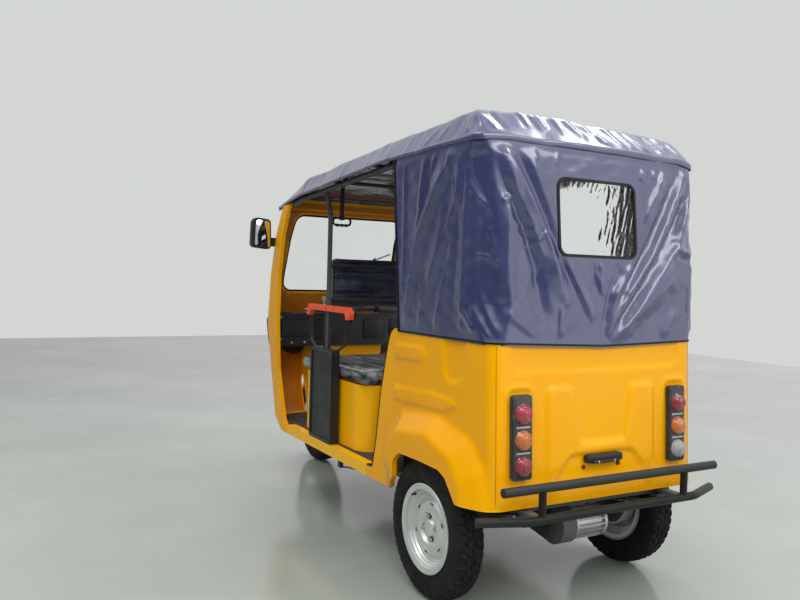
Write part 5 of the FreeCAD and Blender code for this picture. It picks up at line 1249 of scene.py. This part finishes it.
def leaning(slope, foot):
    """A shear that moves points along Y by a slope, counted from a height."""
    return Matrix(((1, 0, 0, 0), (0, 1, slope, -slope * foot), (0, 0, 1, 0), (0, 0, 0, 1)))


# Tail lamps: a black base with three domed lenses under a clear wrapped cover
LENS_Z = (757, 668, 579)
LENS_TONES = {1: (1, 2, 1), -1: (1, 2, 3)}
LENS_RADIUS = 35
LENS_DEEP = 31


def lens(form, centre, tone):
    """A domed lens facing the rear, with a rim and turned rings."""
    profile = [(-2, LENS_RADIUS), (5, LENS_RADIUS), (7, LENS_RADIUS - 1.5)]
    for k in range(1, 25):
        angle = math.pi / 2 * k / 24
        ripple = 1.1 * math.sin(angle * 26) if k < 23 else 0
        profile.append((7 + (LENS_DEEP - 7) * math.sin(angle) + ripple,
                        (LENS_RADIUS - 1.5) * math.cos(angle) + 0.01))
    lathe(form, profile, centre, axis="y", segments=72, tone=tone)


lean = leaning(-REAR_SLOPE, LAMP_LOW)
lamp_back = rear_y(LAMP_LOW)
lamps = Form()
for side in (1, -1):
    middle = side * LAMP_X
    for half, low_z, high_z, corner, front, back, round_by in ((42, LAMP_LOW, 822, 12, 0.3, 21, 3.0),
                                                               (35, LAMP_LOW + 9, 813, 9, 21, 24, 1.2)):
        slab(lamps, rectangle(middle - half, middle + half, low_z, high_z, corner), lamp_back + front,
             lamp_back + back, "y", round_by, matrix=lean)
    for z in (620, 709):
        block(lamps, (middle - 30, rear_y(z) + 23, z), (middle + 30, rear_y(z) + 25, z + 7), 1.0, 4)
    for tone, z in zip(LENS_TONES[side], LENS_Z):
        lens(lamps, (middle, rear_y(z) + 18, z), tone)
piece("lamp_skin", lamps, [BLACK_PLASTIC, LAMP_RED, LAMP_AMBER, LAMP_CLEAR, LAMP_STRIP],
      replaces=("tail_lamps",), smooth=35)

# the lamps' clear wrap, with painted glints on its creases
wrap = Form()
wrap_x, wrap_z = np.meshgrid(np.linspace(-1, 1, 46), np.linspace(529, 823, 120))
for side in (1, -1):
    domes = np.zeros_like(wrap_x)
    for z in LENS_Z:
        far = np.hypot(wrap_x * 42, wrap_z - z) / 41
        domes = np.maximum(domes, 26 * np.sqrt(np.clip(1 - far ** 2, 0, 1)))
    lift = 25.5 + blurred(domes, 5) + 1.3 * waves(wrap_x * 42, wrap_z, 31 + side, 20)
    lift = np.where(np.abs(wrap_x) > 0.93, 26 * (1 - (np.abs(wrap_x) - 0.93) / 0.07 * 0.9), lift)
    points = joined(side * LAMP_X + wrap_x * 43.5, rear_y(wrap_z) + lift, wrap_z)
    wrap.grid(points)
piece("lamp_wrap", wrap, [THIN_FILM], smooth=80)

# Plate lamp: a black housing with two screws, and the number plate's bolts beside it
plate_lamp = Form()
back = rear_y(577)
outline = rounded_line([(-86, 565), (-78, 561), (78, 561), (86, 565), (86, 588), (74, 592), (-74, 592),
                        (-86, 588)], [6, 4, 4, 6, 6, 5, 5, 6])
slab(plate_lamp, outline, back + 0.5, back + 26, "y", 5)
slab(plate_lamp, rectangle(-66, 66, 560, 572, 4), back + 24, back + 33, "y", 3)
screw = [(0, 5), (2.2, 4.6), (3.2, 3), (3.2, 0.3)]
bolt = [(-3, 3.2), (0.4, 3.2), (0.4, 8.5), (2, 8.5), (2.6, 8), (2.6, 6), (7.5, 5.8), (8.4, 4.6), (8.4, 0.3)]
for side in (-1, 1):
    lathe(plate_lamp, screw, (side * 38, back + 32.5, 566), axis="y", segments=20, tone=1)
    lathe(plate_lamp, bolt, (side * 85, rear_y(545), 545), axis="y", segments=24, tone=2)
piece("plate_lamp_skin", plate_lamp, [BLACK_PLASTIC, SILVER_METAL, BOLT_RED],
      replaces=("plate_lamp",), smooth=35)


# Seats: padded cushions, swollen by a cloth simulation
def apply_modifiers(made):
    """Replace an object's mesh by what its modifiers make of it."""
    graph = bpy.context.evaluated_depsgraph_get()
    graph.update()
    mesh = bpy.data.meshes.new_from_object(made.evaluated_get(graph))
    made.modifiers.clear()
    made.data = mesh


def mesh_points(made):
    flat_points = np.zeros(len(made.data.vertices) * 3)
    made.data.vertices.foreach_get("co", flat_points)
    return flat_points.reshape(-1, 3)


def swell(made, limit, voxel):
    """Swell a closed mesh by cloth pressure, each point moving at most limit millimetres."""
    scene = bpy.context.scene
    remesh = made.modifiers.new("even", "REMESH")
    remesh.mode = "VOXEL"
    remesh.voxel_size = voxel * MM
    apply_modifiers(made)
    start = mesh_points(made)
    cloth = made.modifiers.new("swell", "CLOTH")
    cloth.settings.use_pressure = True
    cloth.settings.uniform_pressure_force = 4.0
    cloth.settings.effector_weights.gravity = 0
    for step in range(1, 21):
        scene.frame_set(step)
    apply_modifiers(made)
    moved = mesh_points(made) - start
    far = np.linalg.norm(moved, axis=1)
    moved *= np.minimum(1, limit * MM / np.maximum(far, 1e-9))[:, None]
    made.data.vertices.foreach_set("co", (start + moved).reshape(-1))
    scene.frame_set(1)


def cushion(name, box, node, material, limit, voxel, corner, matrix=None):
    """A padded block: it starts smaller than its box and swells to it.

    The box is half its width, then y from and to, then z from and to."""
    half, low_y, high_y, low_z, high_z = box
    low, high = np.array([-half, low_y, low_z], float), np.array([half, high_y, high_z], float)
    start = limit * 0.8
    form = block(Form(), low + start, high - start, corner, segments=5, matrix=matrix)
    made = piece(name, form, [material], replaces=(node,), smooth=0)
    swell(made, limit, voxel)
    made.data.shade_smooth()
    modifier = made.modifiers.new("rounded", "SUBSURF")
    modifier.levels = modifier.render_levels = 1


cushion("bench_pad", (444, -1494, -721, 700.3, 774), "middle_bench_cushion", SEAT_FILM, 6, 14, 14)
cushion("backrest_pad", (432, -1151, -1107.3, 1048, 1306), "middle_backrest", BACK_FILM, 4, 9, 14)
cushion("rear_pad", (465, -230, 195, 690.3, 764), "rear_bench_cushion", SEAT_BLACK, 10, 14, 24)
cushion("rear_back_pad", (429, 196.3, 254, 690.6, 1180), "rear_backrest", SEAT_BLACK, 9, 14, 18,
        leaning(45 / 490, 690))

# A light strip at each end of the middle backrest
strip = slab(Form(), rectangle(-1153, -1105, 1070, 1290, 10), 432.5, 434, "x", 0.5).mirrored()
piece("backrest_strip", strip, [GREY_PLASTIC])

# Mirrors: a reflecting face in the shell's rim
mirror = Form()
face = rounded_line([(515, 1359), (615, 1370), (609, 1525), (521, 1516)], 20)
slab(mirror, face, -1811, -1807.6, "y", 1.0)
rim_line = [(x, -1808, z) for x, z in even_line(face, 7, closed=True)]
sweep(mirror, rim_line, ring(3.2, 8), closed=True, up=(0, 1, 0), tone=1)
mirror.mirrored()
piece("mirror_faces", mirror, [MIRROR_FACE, BLACK_PLASTIC], smooth=35)

# Guard boxes beside the bench: a thin raised outline on the outer face, and rings on the grips
guard = Form()
line = [(489.2, y, z) for y, z in even_line(rectangle(-1228, -983, 396, 836, 12), 10, closed=True)]
sweep(guard, line, ring(1.6, 8), closed=True, up=(1, 0, 0))
for y in (-1092, -1012):
    line = [(458.6 + 16 * math.cos(a), y, 1046 + 17 * math.sin(a)) for a in np.arange(24) * math.pi / 12]
    sweep(guard, line, ring(1.2, 6), closed=True, up=(0, 1, 0), tone=1)
guard.mirrored()
piece("guard_trim", guard, [BLACK_METAL, DASH_GREY])

# Hanging handles: three finger bumps under each loop, and the strap's stitching
handle = Form()
for x in (-26, 0, 26):
    lathe(handle, [(-9, 5.5), (-6, 8), (0, 9.2), (6, 8), (9, 5.5)], (250 + x, -1412, 1489), segments=24)
for z in (1545, 1600, 1655):
    block(handle, (240, -1416.4, z), (260, -1407.6, z + 3), 0.8, 1)
handle.mirrored()
piece("handle_bumps", handle, [BLACK_PLASTIC, DASH_GREY], smooth=50)


# Faces of the CAD model that details sit on
def hit(node, start, direction):
    """Where a line from a start first meets a CAD node, in the vehicle's millimetres, or None."""
    target = nodes[node]
    inverse = target.matrix_world.inverted()
    found, where, _, _ = target.ray_cast(inverse @ spot(*start), inverse.to_3x3() @ Vector(direction))
    if not found:
        return None
    x, y, z = target.matrix_world @ where
    return np.array([x, y - AXLE_Y, z]) / MM


# where a line along Y starts: ahead of the nose, or in the cab; and the way it goes
FROM_AHEAD, FROM_CAB = (-2500, 1), (-1500, -1)


def face_at(node, x, z, view, default=None):
    """The y where a line along Y, from ahead or from the cab, first meets a CAD node."""
    start, direction = view
    found = hit(node, (x, start, z), (0, direction, 0))
    return default if found is None else found[1]


def add_shade_sheet(form, across, zs, start, direction, off):
    """A grid of points found on the nose's inside, a little off it, and the faces between them.

    start gives the ray's start for a place across and a height. It stays open where there is no
    point or a jump."""
    points = {}
    for i, z in enumerate(zs):
        for j, place in enumerate(across):
            point = hit("front_cowl" if z < 1080 else "windscreen_frame", start(place, z), direction)
            if point is not None:
                points[i, j] = point - np.array(direction) * off
    order = {key: k for k, key in enumerate(points)}
    faces = []
    for i in range(len(zs) - 1):
        for j in range(len(across) - 1):
            corners = [(i, j), (i, j + 1), (i + 1, j + 1), (i + 1, j)]
            if all(corner in points for corner in corners):
                if np.max(np.ptp([points[corner] for corner in corners], axis=0)) < 45:
                    faces.append(tuple(order[corner] for corner in corners))
    form.add(list(points.values()), faces)


# Inside the nose: a sheet just off the inner faces, in a darker orange that is painted shade
nose_shade_sheet = Form()
nose_zs = np.concatenate([np.linspace(392, 1078, 36), np.linspace(1083, 1630, 40)])
add_shade_sheet(nose_shade_sheet, np.linspace(-2090, -1534, 36), nose_zs, lambda y, z: (0, y, z), (1, 0, 0), 1.2)
nose_shade_sheet.mirrored()
add_shade_sheet(nose_shade_sheet, np.linspace(-470, 470, 72), nose_zs, lambda x, z: (x, -1500, z), (0, -1, 0), 1.2)
piece("nose_shade_sheet", nose_shade_sheet, [NOSE_PAINTED_SHADE])

# Windscreen: a black seal inside and out, and the wiper
screen_line = rounded_line([(374, 1112), (352, 1564), (-352, 1564), (-374, 1112)], 56)
screen_line = even_line(screen_line, 14, closed=True)
seal = Form()
for view in (FROM_CAB, FROM_AHEAD):
    found = [(x, face_at("windscreen_glass", x, z, view), z) for x, z in screen_line]
    line = np.array([point for point in found if point[1] is not None]) - (0, 2.5 * view[1], 0)
    for _ in range(3):
        line[:, 1] = (np.roll(line[:, 1], 1) + 2 * line[:, 1] + np.roll(line[:, 1], -1)) / 4
    sweep(seal, line, ring(7, 8, 0.7), closed=True, up=(0, 1, 0))
piece("windscreen_seal", seal, [BLACK_RUBBER], smooth=60)


def before_glass(x, z, gap):
    """A point in front of the windscreen."""
    return (x, face_at("windscreen_glass", x, z, FROM_AHEAD) - gap, z)


wiper = Form()
shares = np.linspace(0, 1, 8)
arm = [before_glass(-60 - 190 * share, 1150 + 180 * share, 16 - 4 * share) for share in shares]
tube(wiper, arm, 4.5, step=30, sides=10)
blade = [before_glass(-120 - 225 * share, 1266 + 92 * share, 8) for share in shares]
sweep(wiper, blade, [(-2, -8), (2, -8), (4, 4), (-4, 4)], up=(0, -1, 0))
pivot = face_at("front_cowl", -60, 1070, FROM_AHEAD, -2040)
lathe(wiper, [(-2, 0.3), (-2, 9), (-6, 12), (-22, 12)], (-60, pivot, 1072), axis="y", segments=24)
tube(wiper, [(-60, pivot - 8, 1074), arm[0]], 4.5, sides=10)
piece("wiper", wiper, [BLACK_PLASTIC], smooth=50)

# Header over the windscreen: a bead along its inner face, and screws
HEADER_Z = 1598
header = Form()
header_y = face_at("windscreen_frame", 0, HEADER_Z, FROM_CAB, -1778)
bead = [(x, header_y + 1, HEADER_Z - 6 * (x / 400) ** 2) for x in range(-400, 401, 40)]
tube(header, bead, 4, sides=10, step=20)
for x in (-404, -380, -356, 356, 380, 404):
    lathe(header, [(0, 5), (2, 4.6), (3, 3), (3, 0.3)], (x, header_y, HEADER_Z - 22), axis="y", segments=16,
          tone=1)
piece("header_bead", header, [YELLOW, DARK_GAP], smooth=50)

# Dashboard: panels, screws, the lever beside the column and two cables
DASH_Y = -1790
dash = Form()
for low_x, high_x, low_z in ((90, 230, 826), (-230, -90, 826), (268, 440, 850), (-440, -268, 850)):
    outline = rectangle(low_x, high_x, low_z, 950, 14)
    slab(dash, outline, DASH_Y - 2, DASH_Y + 4, "y", 2.0)
    line = [(x, DASH_Y + 4, z) for x, z in even_line(outline, 8, closed=True)]
    sweep(dash, line, ring(2.4, 8), closed=True, up=(0, 1, 0))
screw = [(0, 7), (2, 6.6), (3, 4.5), (3, 0.3)]
for side in (1, -1):
    for x, z in ((448, 960), (448, 832), (300, 812), (380, 812)):
        lathe(dash, screw, (side * x, DASH_Y + 0.5, z), axis="y", segments=20, tone=1)
    cable = [(side * 250, DASH_Y + 2, 800), (side * 225, DASH_Y + 10, 770), (side * 200, DASH_Y - 8, 700)]
    tube(dash, cable, 5, 20, sides=10)
tube(dash, [(180, DASH_Y, 968), (196, DASH_Y + 42, 1006), (204, DASH_Y + 50, 1062)], 6, 16, tone=2, sides=12)
lathe(dash, [(-14, 0.3), (-12, 10), (0, 14), (12, 10), (15, 0.3)], (204, DASH_Y + 50, 1072), axis="z",
      segments=24, tone=1)
piece("dash_details", dash, [BLACK_PLASTIC, LAMP_STRIP, SILVER_METAL])

# Handlebar: levers, switch boxes, ribs of the grips and the dial
DIAL = (0, -1781, 1053)
bar = Form()
for side in (1, -1):
    lever = ((168, -1768, 1014), (190, -1812, 1016), (292, -1796, 1008), (304, -1790, 1006))
    tube(bar, [(side * x, y, z) for x, y, z in lever], 5, 14, tone=1, sides=12)
    block(bar, (side * 176 - 18, -1798, 992), (side * 176 + 18, -1762, 1032), 6)
    lathe(bar, [(0, 18.5), (3, 19.5), (6, 18.5)], (side * 178, -1764, 1009), segments=32)
    for k in range(9):
        at = (side * (292 - 11 * k), -1745 - 44 * (8 + 11 * k) / 190, 1006 + 6 * 11 * k / 190)
        lathe(bar, [(-2.6, 17), (-1.4, 18.2), (1.4, 18.2), (2.6, 17)], at, segments=28)
lathe(bar, [(0, 33), (4, 33), (6, 30), (3, 28), (3, 0.3)], DIAL, axis="y", segments=48)
lathe(bar, [(3.2, 28), (3.4, 0.3)], DIAL, axis="y", segments=48, tone=2)
block(bar, (-1.2, -1777.4, 1053), (1.2, -1776.6, 1076), 0.3, 3)
piece("bar_details", bar, [BLACK_PLASTIC, SILVER_METAL, GREY_PLASTIC, BOLT_RED], body="steering")

# Floor mats in front of the driver and behind the bench, with ribs across
FLOOR_Z = 386
mat = Form()
# half the width, y from and to, corner radius, top, number of ribs, first rib, step
for half, low_y, high_y, corner, top, count, first_y, step in ((410, -1700, -1512, 50, 392, 12, -1690, 15),
                                                               (400, -690, -420, 40, 391, 16, -676, 16)):
    slab(mat, rectangle(-half, half, low_y, high_y, corner), FLOOR_Z + 0.3, top, "z", 2.0)
    for k in range(count):
        y = first_y + k * step
        block(mat, (-380, y, top - 1), (380, y + 6, top + 2), 1.2)
piece("floor_mats", mat, [FLOOR_MAT])

# Headlamps: a chrome ring and a domed glass with vertical ribs
HEADLAMP_X, HEADLAMP_Z = 310, 800
lights = Form()
for side in (1, -1):
    at = (side * HEADLAMP_X, -2026, HEADLAMP_Z)
    lathe(lights, [(0, 66), (-6, 70), (-12, 68), (-12, 60), (-8, 58)], at, axis="y", segments=72, tone=1)
    glass = [(-9 - 9 * math.cos(a), 59 * math.sin(a) + 0.2) for a in np.linspace(math.pi / 2, 0, 16)]
    lathe(lights, glass, at, axis="y", segments=72)
    for k in range(-4, 5):
        x = side * HEADLAMP_X + k * 12
        rise = 0.8 * math.sqrt(54 ** 2 - (k * 12) ** 2)
        block(lights, (x - 1.4, -2044, HEADLAMP_Z - rise), (x + 1.4, -2034, HEADLAMP_Z + rise), 0.5)
piece("headlamp_faces", lights, [LAMP_CLEAR, SILVER_METAL])

# Bolts of the spring shackles: a head on a washer
bolts = Form()
for y in (340, -340):
    for z, radius in ((370, 13), (389, 8)):
        washer = [(0, radius), (2, radius), (2.4, radius * 0.94), (2.4, 0.3)]
        head = [(2, radius * 0.72), (9, radius * 0.72), (10, radius * 0.6), (10, 0.3)]
        lathe(bolts, washer, (362, y, z), segments=24)
        lathe(bolts, head, (362, y, z), segments=6)
bolts.mirrored()
piece("bolt_heads", bolts, [SILVER_METAL])

# A bracket with its cable under the sill, and a dark marker on each side of the nose
bracket = Form()
block(bracket, (466, -884, 296), (484, -852, 330.8), 4)
tube(bracket, [(474, -866, 300), (462, -780, 312), (440, -640, 318), (420, -560, 330)], 3.5, 30, sides=10)
marker_line = [hit("front_cowl", (900, -1925, z), (-1, 0, 0)) for z in np.linspace(800, 950, 12)]
marker_line = [point + (0.6, 0, 0) for point in marker_line if point is not None]
sweep(bracket, marker_line, [(-9, -1.5), (9, -1.5), (8, 2), (-8, 2)], up=(1, 0, 0))
bracket.mirrored()
piece("side_fittings", bracket, [BLACK_PLASTIC])

# Drive motor: through bolts, an end cap and two cables
MOTOR_END = (-237, 112, 243)
motor = Form()
for k in range(4):
    at = round_axle(MOTOR_END, 0, 60, 45 + 90 * k)
    lathe(motor, [(0, 7), (-8, 7), (-9, 5.6), (-9, 0.3)], at, segments=6)
end_cap = [(0, 34), (-4, 33), (-7, 26), (-7, 18), (-10, 16), (-10, 0.3)]
lathe(motor, end_cap, round_axle(MOTOR_END, 0.5, 0, 0), segments=48)
tube(motor, [(-200, 112, 312), (-200, 90, 340), (-190, 40, 352), (-150, -40, 350)], 7, 30, tone=1, sides=12)
tube(motor, [(-180, 118, 310), (-178, 96, 346), (-160, 46, 360), (-120, -30, 358)], 5, 30, tone=1, sides=12)
piece("motor_details", motor, [MOTOR_ALU, BLACK_RUBBER])


# Floor, backdrop and studio light
def studio():
    surface = Surface("studio_floor")
    tone = surface.ramp(surface.noise(0.7, 5.0), rgb(144, 151, 143), rgb(163, 169, 161))
    surface.colour(tone).rough(0.1, 0.2, 2.0)
    surface.set(Specular_IOR_Level=0.45)
    mesh = bpy.data.meshes.new("studio_floor")
    corners = ((-9000, -12000), (9000, -12000), (9000, 7000), (-9000, 7000))
    mesh.from_pydata([spot(x, y, -0.5) for x, y in corners], [], [(0, 1, 2, 3)])
    mesh.materials.append(surface.material)
    floor = bpy.data.objects.new("studio_floor", mesh)
    bpy.context.scene.collection.objects.link(floor)


def area_light(name, at, aim, size, power, glossy=True):
    light = bpy.data.lights.new(name, "AREA")
    light.shape = "RECTANGLE"
    light.size, light.size_y = size
    light.energy = power
    lamp = bpy.data.objects.new(name, light)
    bpy.context.scene.collection.objects.link(lamp)
    lamp.location = at
    lamp.visible_glossy = glossy
    lamp.rotation_euler = (Vector(aim) - Vector(at)).to_track_quat("-Z", "Y").to_euler()


def studio_world():
    """A bright hall round the vehicle, darker behind the camera, and its plain pale wall as backdrop."""
    world = bpy.data.worlds.new("studio")
    bpy.context.scene.world = world
    world.use_nodes = True
    tree = world.node_tree

    def node(kind, inputs=None, **values):
        return add_node(tree, kind, inputs, **values).outputs

    def grey_ramp(value, stops):
        return colour_ramp(tree, value, [(place, (grey, grey * 0.97, grey, 1.0)) for place, grey in stops])

    axes = node("ShaderNodeSeparateXYZ", {0: node("ShaderNodeTexCoord")["Generated"]})
    turn = node("ShaderNodeMath", {0: axes["Y"], 1: axes["X"]}, operation="ARCTAN2")[0]
    share = node("ShaderNodeMapRange", {"Value": turn, "From Min": -math.pi, "From Max": math.pi})["Result"]
    around = grey_ramp(share, [((angle + 180) / 360, value) for angle, value in HORIZON])
    height = node("ShaderNodeMapRange", {"Value": axes["Z"], "From Min": -1, "From Max": 1})["Result"]
    ceiling = grey_ramp(height, [((z + 1) / 2, value) for z, value in CEILING])
    hall = node("ShaderNodeMix", {0: ceiling, 6: around, 7: (1.15, 1.18, 1.2, 1)}, data_type="RGBA")[2]
    # the camera sees the plain backdrop, also through glass
    path = node("ShaderNodeLightPath")
    seen = node("ShaderNodeMath", {0: path["Is Camera Ray"], 1: path["Is Transmission Ray"]},
                operation="MAXIMUM")[0]
    shown = node("ShaderNodeMix", {0: seen, 6: hall, 7: BACKDROP}, data_type="RGBA")[2]
    background = tree.nodes["Background"]
    tree.links.new(shown, background.inputs["Color"])
    background.inputs["Strength"].default_value = 1.0


# Light round the horizon: angle from +X towards +Y, brightness
HORIZON = [(-180, 0.95), (-120, 0.7), (-85, 0.42), (-52, 0.18), (-34, 0.12), (74, 0.12), (94, 0.5),
           (112, 1.2), (126, 1.6), (140, 1.1), (155, 1.0), (180, 0.95)]
# How far the bright ceiling takes over from the horizon: height of the direction, share
CEILING = [(-1.0, 0.0), (0.2, 0.0), (0.5, 0.35), (0.75, 1.0), (1.0, 1.0)]
BACKDROP = rgb(211, 214, 211)

studio()
studio_world()
area_light("ceiling_left", (2.0, 1.4, 4.6), (0, 0.2, 0.8), (3.4, 0.5), 60)
area_light("ceiling_rear", (-1.2, 4.4, 4.0), (0, 0.6, 0.8), (3.4, 1.2), 60)
area_light("ceiling_right", (-2.6, 0.3, 4.75), (0, 0.25, 1.76), (3.0, 0.5), 34)
area_light("ceiling_front", (-0.5, -3.4, 4.4), (0, 0, 0.8), (3.0, 1.0), 60, glossy=False)
area_light("fill_camera", (3.4, 4.6, 2.6), (0, 0.3, 0.7), (3.0, 3.0), 95, glossy=False)
bpy.context.scene.view_settings.view_transform = "Standard"
